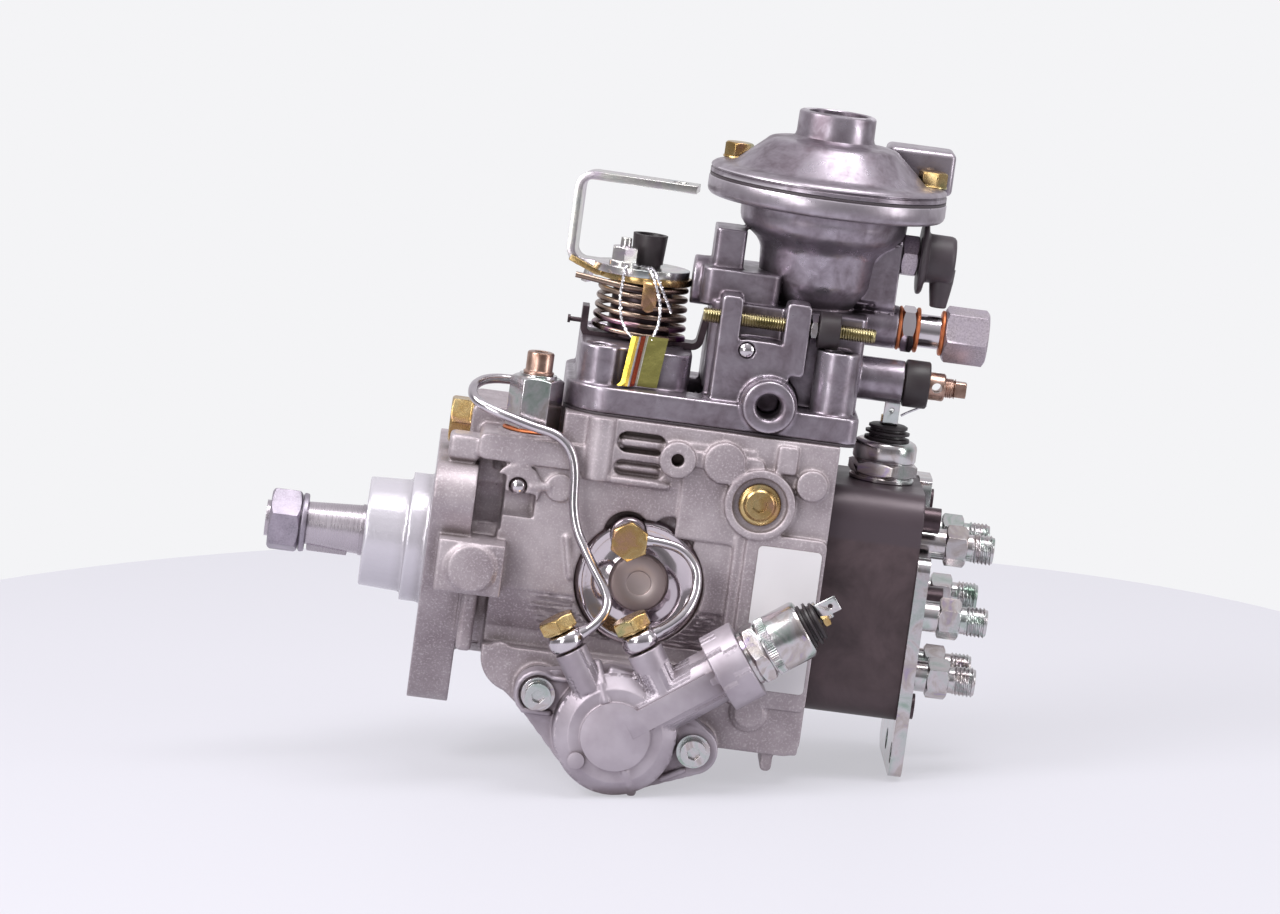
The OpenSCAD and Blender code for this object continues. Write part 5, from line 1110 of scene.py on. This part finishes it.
timing_can = turned("timing_solenoid_can", [
    (0, 47.6), (9.4, 47.6), (9.4, 57.5), (11.1, 57.5), (11.1, 59.0), (10.2, 59.2), (10.2, 64.8), (10.8, 66.0),
    (10.8, 68.9), (11.3, 69.1), (11.55, 69.4), (11.55, 80.7), (11.35, 81.4), (10.9, 82.1), (10.2, 82.4),
    (9.2, 82.4), (9.0, 82.0), (0, 82.0),
], steps=96)
hexagon = hex_bar("hexagon", (0, 0, 59.1), (0, 0, 65.2), 22, both=True)
rounded_edges(hexagon, 0.25)
fuse(timing_can, [hexagon, knurled("neck", 65.9, 69.2, 11.5, 72, 0.5)])
timing_can.data.transform(solenoid_turn)
finished(timing_can, "pump_body", "clear_zinc", blue_zinc, "timing_solenoid")

# The shut-off solenoid on the head: collar, hexagon and a can with a rolled top edge.
shutoff_x = 172
shutoff_can = turned("shutoff_solenoid_can", [
    (4.06, 37.2), (8.9, 37.2), (8.9, 46), (12.2, 46), (12.6, 46.4), (12.6, 47.6), (12.2, 48.0), (11.4, 48.1),
    (11.4, 54.0), (12.1, 54.3), (12.35, 54.8), (12.35, 59.6), (12.1, 60.6), (11.4, 61.5), (10.4, 62.0),
    (9.0, 62.0), (8.8, 61.6), (0, 61.6), (0, 56.0), (4.06, 56.0), (4.06, 37.2),
], (shutoff_x, 0, 0), steps=96)
hexagon = hex_bar("hexagon", (shutoff_x, 0, 48.0), (shutoff_x, 0, 54.0), 24, both=True, turn=12)
rounded_edges(hexagon, 0.25)
carve(hexagon, round_bar((shutoff_x, 0, 47), (shutoff_x, 0, 55), 11))
fuse(shutoff_can, [hexagon])
finished(shutoff_can, "pump_body", "clear_zinc", blue_zinc, "shutoff_solenoid")

# Each solenoid's terminal: a moulded insulator with two ribs, a plated flag tongue with a hole, a stud
# with fine threads and a small yellow nut. A cut wire end is still soldered to the upper flag.
insulator = turned("terminal_insulators", [
    (1.9, 0), (8.8, 0), (8.8, 1.0), (7.2, 1.2), (7.0, 2.2), (8.6, 2.5), (8.7, 3.4), (7.0, 3.7), (6.8, 4.5),
    (7.6, 4.7), (7.6, 5.6), (6.6, 6.1), (3.2, 6.2), (3.0, 5.0), (1.9, 5.0),
], closed=True, steps=64)
top_terminal = Matrix.Translation((shutoff_x / 1000, 0, 0.062))
low_terminal = solenoid_turn @ Matrix.Translation((0, 0, 0.0824))
terminals = [top_terminal, low_terminal]
insulators = repeated(insulator, terminals)
finished(insulators, "pump_body", "black_plastic", black_plastic, "terminals")


def threaded(name, length, radius, pitch, depth, steps=28, core_end=0.6):
    """A rod along Z with a real helical V thread: rings of points that dip once a turn, its ends tapered."""
    rows = int(length / pitch * 4)
    points, faces = [], []
    for row in range(rows + 1):
        z = length * row / rows
        taper = min(1.0, z / core_end, (length - z) / core_end)
        for step in range(steps):
            phase, turn = (z / pitch - step / steps) % 1, math.tau * step / steps
            reach = radius - depth * (1 - taper) - depth * abs(1 - 2 * phase) * taper
            points.append((reach * math.cos(turn) / 1000, reach * math.sin(turn) / 1000, z / 1000))
    for row in range(rows):
        for step in range(steps):
            a, b = row * steps + step, row * steps + (step + 1) % steps
            faces.append((a, b, b + steps, a + steps))
    faces += [tuple(reversed(range(steps))), tuple(range(rows * steps, rows * steps + steps))]
    mesh = bpy.data.meshes.new(name)
    mesh.from_pydata(points, [], faces)
    rod = linked(name, mesh)
    only(rod)
    smooth(30)
    return rod


studs = repeated(threaded("terminal_studs", 11.5, 1.85, 0.7, 0.3), terminals)
finished(studs, "pump_body", "steel", blue_zinc)
nuts = repeated(hex_bar("terminal_nuts", (0, 0, 6.9), (0, 0, 9.6), 6.6, both=True), terminals)
finished(nuts, "pump_body", "gold_zinc", yellow_zinc)

flag = bent_strip("terminal_flags", (-2.5, 0, 6.6), 6, 0.8, [("run", 1.4), ("bend", 78, 0.5), ("run", 8.4)])
flag.data.transform(Matrix.Rotation(math.radians(180), 4, "Z"))
carve(flag, round_bar((2, 0, 12.2), (12, 0, 12.2), 0.9, sides=20))
rounded_edges(flag, 0.2)
fuse(flag, [turned("washer", [(1.9, 6.2), (3.6, 6.2), (3.6, 7.0), (1.9, 7.0)], closed=True, steps=32)])
forward = Matrix.Rotation(math.radians(-90), 4, "Z")
flags = repeated(
    flag, [top_terminal @ forward, low_terminal @ Matrix.Translation((-0.0034, 0.0022, 0)) @ forward]
)
finished(flags, "pump_body", "clear_zinc", blue_zinc)
wire_end = wire(
    "cut_wire", [(176.2, -0.6, 72), (178, -0.8, 73.5), (181.5, -1, 75.4), (185.5, -1.2, 77.4)], 0.5, 3
)
finished(wire_end, "pump_body", "steel", bright_wire)


# The stop screw: an M6 stud with a rolled thread, yellow passivated. It runs through the cover's lug,
# a thin bright nut locks it there, and a black sleeve hides its setting.
olive_zinc, tree, shader, place = material_named("zinc plated thread, olive passivated")
film = add(tree, "TexNoise", {"Vector": place, "Scale": 130, "Detail": 3}).outputs["Fac"]
skin_colour = add(
    tree, "ValToRGB", {"Fac": film}, stops=[(0.34, "#857c5a"), (0.68, "#b3a783")]
).outputs["Color"]
skin_gloss = add(tree, "MapRange", {"Value": film, "To Min": 0.22, "To Max": 0.36}).outputs[0]
coat(shader, skin_colour, skin_gloss, 1.0)

along_x, stop_y, stop_z, load_y, load_z = (1, 0, 0), -32, 105, -8, 86
stop_screw = laid(threaded("stop_screw_stud", 66.5, 3.0, 1.0, 0.5, 24, 1.0), (93.5, stop_y, stop_z))
finished(stop_screw, "pump_body", "gold_zinc", olive_zinc, "stop_screw")
lock_nut = hex_bar("stop_screw_lock_nut", (134.9, stop_y, stop_z), (137.7, stop_y, stop_z), 10, both=True)
carve(lock_nut, round_bar((134, stop_y, stop_z), (139, stop_y, stop_z), 2.7))
finished(lock_nut, "pump_body", "gold_zinc", blue_zinc)

stop_sleeve = [
    (3.02, 0), (6.6, 0), (7.05, 0.25), (7.2, 0.7), (7.2, 7.5), (7.05, 7.95), (6.6, 8.2), (3.02, 8.2),
]
load_sleeve = [
    (5.52, 0), (8.5, 0), (9.0, 0.3), (9.2, 0.8), (9.2, 8.8), (9.0, 9.3), (8.5, 9.6), (6.3, 9.6), (5.52, 8.8),
]
sleeves = turned("tamper_sleeves", stop_sleeve, (138, stop_y, stop_z), along_x, closed=True)
fuse(sleeves, [turned("sleeve", load_sleeve, (175, load_y, load_z), along_x, 64, True)])
finished(sleeves, "pump_body", "black_plastic", black_plastic, "tamper_sleeves")

# The full load screw: a turned collar with a wire hole across it, a short thread and two spanner
# flats at its end. The plating has browned to bronze.
bronze_wash, tree, shader, place = material_named("zinc plated steel, browned")
brown_film = add(
    tree, "TexNoise", {"Vector": place, "Scale": 150, "Detail": 3, "Distortion": 0.6}
).outputs["Fac"]
tone = add(
    tree, "ValToRGB", {"Fac": brown_film}, stops=[(0.32, "#8a6c5e"), (0.70, "#c2a497")]
).outputs["Color"]
fine_streaks = add(tree, "TexNoise", {"Vector": place, "Scale": 1300, "Detail": 1}).outputs["Fac"]
skin_gloss = add(tree, "MapRange", {"Value": fine_streaks, "To Min": 0.24, "To Max": 0.38}).outputs[0]
coat(shader, tone, skin_gloss, 1.0, edge=0.0003)

full_load = turned("full_load_screw_collar", [
    (0, 159), (3.9, 159), (3.9, 175), (5.4, 175), (5.4, 190.3), (4.9, 190.9), (3.3, 191), (3.3, 192),
    (0, 192),
], (0, load_y, load_z), along_x, 56)
carve(
    full_load,
    round_bar((187.7, -16, load_z), (187.7, 0, load_z), 2.0),
    round_bar((187.7, load_y, 80), (187.7, load_y, 92), 1.5),
)
tip = turned("tip", [
    (0, 193.5), (3.2, 193.5), (3.2, 194.3), (4.0, 194.8), (4.0, 198.7), (3.5, 199.2), (0, 199.2),
], (0, load_y, load_z), along_x, 48)
carve(
    tip,
    block((194.8, -4, 78), (202, 2, 94)), block((194.8, -14, 78), (202, -11.1, 94)),
    block((194.8, -14, 88.9), (202, 2, 94)), block((194.8, -14, 78), (202, 2, 83.1)),
)
fuse(full_load, [laid(threaded("thread", 3.2, 3.9, 0.75, 0.35, 32, 0.3), (190.9, load_y, load_z)), tip], 30)
finished(full_load, "pump_body", "gold_zinc", bronze_wash, "full_load_screw")

# The return union: a turned steel connector with a hexagon and a plain polished tube, sealed by three
# soft copper washers. Its big end nut is tumbled zinc, matt and speckled, and bored for the pipe.
union_z = 106
return_union = hex_bar(
    "return_union_connector", (171.3, 0, union_z), (176.8, 0, union_z), 16, both=True, turn=-20
)
carve(return_union, round_bar((170, 0, union_z), (178, 0, union_z), 4.6))
fuse(return_union, [turned("stem", [
    (2.5, 158.5), (5, 158.5), (5, 178.2), (6.3, 178.2), (6.5, 178.5), (6.5, 186.4), (6.3, 186.7), (5, 186.7),
    (5, 190), (2.5, 190),
], (0, 0, union_z), along_x, 56, True)], 25)
finished(return_union, "pump_body", "clear_zinc", bright_tube, "return_union")

tumbled_zinc, tree, shader, place = material_named("zinc plated steel, tumbled matt")
fine = add(tree, "TexNoise", {"Vector": place, "Scale": 1500, "Detail": 3, "Roughness": 0.7}).outputs["Fac"]
tumbled = add(
    tree, "ValToRGB", {"Fac": fine}, stops=[(0.36, "#8d8286"), (0.62, "#d2c8cd")]
).outputs["Color"]
dull_patches = add(tree, "TexNoise", {"Vector": place, "Scale": 160}).outputs["Fac"]
tone = add(tree, "Mix", {"Factor": dull_patches, 6: tumbled, 7: "#b9aebd"}, data_type="RGBA").outputs[2]
skin_gloss = add(tree, "MapRange", {"Value": fine, "To Min": 0.36, "To Max": 0.52}).outputs[0]
coat(shader, tone, skin_gloss, 0.9, [(fine, 0.00004, 0.5)], 0.0004)
union_nut = hex_bar("return_union_nut", (188.15, 0, union_z), (205.1, 0, union_z), 19.6, both=True, turn=-20)
carve(
    union_nut,
    round_bar((187, 0, union_z), (194, 0, union_z), 4.6),
    round_bar((193, 0, union_z), (206, 0, union_z), 6.4),
    round_bar((204, 0, union_z), (205.6, 0, union_z), 6.4, 7.8),
)
finished(union_nut, "pump_body", "clear_zinc", tumbled_zinc)

soft_copper, tree, shader, place = material_named("copper, annealed")
film = add(tree, "TexNoise", {"Vector": place, "Scale": 220, "Detail": 3}).outputs["Fac"]
skin_colour = add(
    tree, "ValToRGB", {"Fac": film}, stops=[(0.34, "#b5653f"), (0.68, "#e08a5c")]
).outputs["Color"]
skin_gloss = add(tree, "MapRange", {"Value": film, "To Min": 0.38, "To Max": 0.55}).outputs[0]
coat(shader, skin_colour, skin_gloss, 0.75)


def washer(start, thick, radius, bore, place, along):
    """A flat washer with softly pressed edges."""
    end, lip = start + thick, radius - 0.4
    profile = [
        (bore, start), (lip, start), (radius, start + 0.35), (radius, end - 0.35), (lip, end), (bore, end)
    ]
    return turned("sealing_washers", profile, place, along, 64, True)


valve_x, valve_y = 34, -33
union_washers = ((0, 1.2, 8.6), (6.9, 1.4, 8.8), (16.7, 1.4, 8.8))
washers = [washer(*shape, 5.02, (170, 0, union_z), along_x) for shape in union_washers]
fuse(washers[0], washers[1:] + [washer(52, 1.0, 11, 7.02, (valve_x, valve_y, 0), (0, 0, 1))])
finished(washers[0], "pump_body", "copper", soft_copper, "copper_washers")

# The vent adaptor: a zinc hexagon in the bowl's side. A moulded rubber boot with a wide lip is pushed
# over its stub and turns the vent downwards through a thin tapered spout.
vent_z, spout_x = 134.4, 184.4
vent = hex_bar("vent_adaptor_hexagon", (167.5, 0, vent_z), (174.1, 0, vent_z), 15, both=True, turn=20)
stub = [(0, 174), (3, 174), (3, 182.5), (2.6, 183), (0, 183)]
fuse(
    vent,
    [round_bar((154, 0, vent_z), (167.6, 0, vent_z), 4), turned("stub", stub, (0, 0, vent_z), along_x, 32)],
    25,
)
finished(vent, "pump_body", "clear_zinc", tumbled_zinc, "vent_adaptor")

rubber, tree, shader, place = material_named("moulded rubber, black")
bloom = add(tree, "TexNoise", {"Vector": place, "Scale": 90, "Detail": 3}).outputs["Fac"]
relief = (add(tree, "TexNoise", {"Vector": place, "Scale": 1100}).outputs["Fac"], 0.00003, 0.4)
skin_colour = add(tree, "Mix", {"Factor": bloom, 6: "#2d2529", 7: "#4b4148"}, data_type="RGBA").outputs[2]
skin_gloss = add(tree, "MapRange", {"Value": bloom, "To Min": 0.36, "To Max": 0.58}).outputs[0]
coat(shader, skin_colour, skin_gloss, 0.0, [relief], 0.0005)
boot = turned("vent_boot_elbow", [
    (3.02, 174.6), (13.2, 174.6), (14.2, 174.9), (14.45, 175.6), (14.2, 176.4), (13.2, 177.0),
    (10.6, 177.4), (9.7, 177.9), (9.5, 178.6), (9.4, 186.4), (9.0, 187.6), (8.2, 188.3), (7.0, 188.5),
    (0, 188.5), (0, 183.3), (3.02, 183.3),
], (0, 0, vent_z), along_x, 72)
spout = [(0, 131), (5.0, 131), (4.7, 126), (4.1, 121.5), (3.4, 117.2), (3.3, 116.2), (2.9, 115.8), (0, 115.8)]
unite(boot, turned("spout", spout, (spout_x, 0, 0), steps=40))
carve(boot, round_bar((spout_x, 0, 114), (spout_x, 0, 123), 1.6, sides=24))
smooth(35)
finished(boot, "pump_body", "black_rubber", rubber, "vent_boot")

# The boost cover's screws: flanged hexagon heads in yellow zinc, chamfered, three on the rim.
screw = hex_bar("boost_cover_screw_heads", (0, 0, 162.5), (0, 0, 167.7), 10)
rounded_edges(screw, 0.2)
fuse(screw, [turned("flange", [
    (0, 149), (2.28, 149), (2.28, 161.5), (5.8, 161.5), (6.0, 161.8), (5.8, 162.3), (5.2, 162.6), (0, 162.8),
])])
screws = repeated(screw, [
    Matrix.Translation((bowl_x / 1000, 0, 0)) @ Matrix.Rotation(math.radians(angle), 4, "Z")
    @ Matrix.Translation((boost_screw_circle / 1000, 0, 0)) @ Matrix.Rotation(math.radians(10), 4, "Z")
    for angle in boost_screw_angles
])
finished(screws, "pump_body", "gold_zinc", yellow_zinc, "boost_cover_screws")

# The pressure valve: a zinc hexagon in the block beside the cover, with a long chamfer and a turned
# neck, and a copper coloured socket screw that caps it.
valve = hex_bar("pressure_valve_hexagon", (valve_x, valve_y, 53.1), (valve_x, valve_y, 73), 18, turn=30)
rounded_edges(valve, 0.25)
carve(valve, round_bar((valve_x, valve_y, 52), (valve_x, valve_y, 75), 4.1))
neck, rim = [(4.1, 44), (7, 44), (7, 53.2), (4.1, 53.2)], [(4.1, 72.9), (7.4, 72.9), (7.2, 74), (4.1, 74)]
fuse(valve, [turned("collar", profile, (valve_x, valve_y, 0), closed=True) for profile in (neck, rim)], 25)
finished(valve, "pump_body", "clear_zinc", blue_zinc, "pressure_valve")
cap_screw = turned("pressure_valve_cap_screw", [
    (0, 60), (3.9, 60), (3.9, 74.05), (5.7, 74.05), (5.9, 74.4), (5.9, 75.0), (5.3, 75.3), (5.2, 75.6),
    (5.2, 81.9), (4.9, 82.4), (4.4, 82.6), (0, 82.6),
], (valve_x, valve_y, 0), steps=56)
carve(cap_screw, round_bar((valve_x, valve_y, 79), (valve_x, valve_y, 84), 2.9, sides=6))
finished(cap_screw, "pump_body", "copper_plated", bronze_wash, "pressure_valve_screw")


# The distributor head: a forged steel block, finish machined and then phosphated almost black. Fine
# cutter lines run up its sides, oil has left paler cloudy marks, and a few crystals glint.
phosphate, tree, shader, place = material_named("steel, manganese phosphated")
cloud = add(
    tree, "TexNoise", {"Vector": place, "Scale": 38, "Detail": 5, "Roughness": 0.65, "Distortion": 0.5}
).outputs["Fac"]
drawn_out = add(tree, "Mapping", {"Vector": place, "Scale": (1.0, 1.0, 0.03)}).outputs[0]
lines = add(tree, "TexNoise", {"Vector": drawn_out, "Scale": 1400}).outputs["Fac"]
sides = add(tree, "ValToRGB", {"Fac": cloud}, stops=[(0.32, "#372c2f"), (0.70, "#57484c")]).outputs["Color"]
head_height = add(tree, "SeparateXYZ", {0: place}).outputs["Z"]
head_top = add(
    tree, "MapRange", {"Value": head_height, "From Min": 0.026, "From Max": 0.0275}
).outputs[0]
tone = add(tree, "Mix", {"Factor": head_top, 6: sides, 7: "#4a3f45"}, data_type="RGBA").outputs[2]
crystals = add(
    tree, "Mix", {"Factor": specks(place, 300, (0.04, 0.1), (0.95, 0.98)), 6: tone, 7: "#b3a6a4"},
    data_type="RGBA",
).outputs[2]
skin_gloss = add(
    tree, "MapRange", {"Value": cloud, "From Min": 0.3, "From Max": 0.7, "To Min": 0.34, "To Max": 0.52}
).outputs[0]
coat(shader, crystals, skin_gloss, 0.35, [(lines, 0.00003, 0.5)], 0.0012, 6)

# The delivery valve holders: six turned fittings with a hexagon, a groove and a cut thread for the
# pipe nuts, each bored through to a cone. A valve sits in the foot of each.
holder = hex_bar("delivery_valve_holder_bodies", (199, 0, 0), (207.5, 0, 0), 14, both=True)
carve(holder, round_bar((198, 0, 0), (208, 0, 0), 4.6))
fuse(holder, [turned("foot", [
    (3.2, 173), (5.98, 173), (5.98, 199.4), (4.6, 199.4), (4.6, 207.4), (5.2, 207.4), (5.2, 209.6),
    (1.4, 209.6), (1.4, 202), (3.2, 202),
], (0, 0, 0), along_x, 48, True)], 25)
thread = laid(threaded("thread", 8.6, 6.0, 1.5, 0.95, 40, 0.9), (209.4, 0, 0))
mouth = round_bar((214.6, 0, 0), (218.4, 0, 0), 1.2, 4.4)
carve(thread, round_bar((208, 0, 0), (219, 0, 0), 1.4, sides=32), mouth)
smooth(30)
valve_inside = turned("valve", [
    (0, 175), (2.8, 175), (2.8, 181), (1.8, 181), (1.8, 182.2), (2.8, 182.2), (2.8, 184.6), (2.2, 185),
    (0, 185),
], (0, 0, 0), along_x, 32)
fuse(holder, [thread, valve_inside])
outlet_circle, outlet_angles = 0.0302, [math.radians(60 * k) for k in range(6)]
outlet_places = [
    Matrix.Translation((0, outlet_circle * math.cos(angle), outlet_circle * math.sin(angle)))
    for angle in outlet_angles
]
finished(repeated(holder, outlet_places), "pump_body", "clear_zinc", blue_zinc, "delivery_valve_holders")

# The nut on the drive shaft's taper: a forged hexagon, chamfered on both ends, with a dished washer
# behind it. Both are dull zinc.
shaft_nut = hex_bar("drive_shaft_nut", (-61.6, 0, 0), (-49.7, 0, 0), 22, both=True, turn=12)
carve(shaft_nut, round_bar((-63, 0, 0), (-48, 0, 0), 7.05))
fuse(shaft_nut, [turned("washer", [
    (7.45, -49.5), (10.6, -49.5), (11.4, -49.0), (11.5, -48.4), (11.2, -47.3), (10.6, -47.1), (7.45, -47.1),
], (0, 0, 0), along_x, 64, True)], 25)
dark_zinc = tumbled_zinc.copy()
dark_zinc.name = "zinc plated steel, dull and darkened"
for node in dark_zinc.node_tree.nodes:
    if node.type == "VALTORGB":
        for element, colour in zip(node.color_ramp.elements, ("#5d5960", "#8d8993")):
            element.color = linear(colour)
finished(shaft_nut, "drive", "clear_zinc", dark_zinc, "shaft_nut")

# The drive shaft and the inner pieces of hardened steel: ground bright, with faint rings round the
# shaft and a thin brown tint of preserving oil.
ground_steel, tree, shader, place = material_named("hardened steel, ground")
squeezed = add(tree, "Mapping", {"Vector": place, "Scale": (1.0, 0.06, 0.06)}).outputs[0]
rings = add(tree, "TexNoise", {"Vector": squeezed, "Scale": 2600}).outputs["Fac"]
oil_tint = add(tree, "TexNoise", {"Vector": place, "Scale": 60, "Detail": 3}).outputs["Fac"]
tone = add(tree, "Mix", {"Factor": oil_tint, 6: "#a79ea6", 7: "#cbc3cb"}, data_type="RGBA").outputs[2]
skin_gloss = add(tree, "MapRange", {"Value": rings, "To Min": 0.18, "To Max": 0.38}).outputs[0]
coat(shader, tone, skin_gloss, 1.0, [(rings, 0.00001, 0.4)], 0.0005)

# The shaft bush: sintered bronze, full of fine oil pores.
sintered_bronze, tree, shader, place = material_named("sintered bronze")
pores = add(tree, "TexNoise", {"Vector": place, "Scale": 2400}).outputs["Fac"]
skin_colour = add(tree, "Mix", {"Factor": pores, 6: "#7c5836", 7: "#b98c5a"}, data_type="RGBA").outputs[2]
skin_gloss = add(tree, "MapRange", {"Value": pores, "To Min": 0.4, "To Max": 0.6}).outputs[0]
coat(shader, skin_colour, skin_gloss, 1.0)

# The pieces that keep their CAD shape: each takes the material of its record slot.
slot_materials = {
    "cast_aluminium": cast_aluminium, "diecast_aluminium": die_casting, "satin_aluminium": satin_casting,
    "steel": ground_steel, "spring_steel": tempered_wire, "clear_zinc": blue_zinc, "gold_zinc": yellow_zinc,
    "copper_plated": bronze_wash, "phosphate": phosphate, "black_steel": black_oxide, "copper": soft_copper,
    "bronze": sintered_bronze, "black_plastic": black_plastic, "black_rubber": rubber, "label": sticker_film,
}
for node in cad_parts.values():
    for slot in node.material_slots:
        slot.material = slot_materials[slot.material.name.split(".")[0] if slot.material else "steel"]
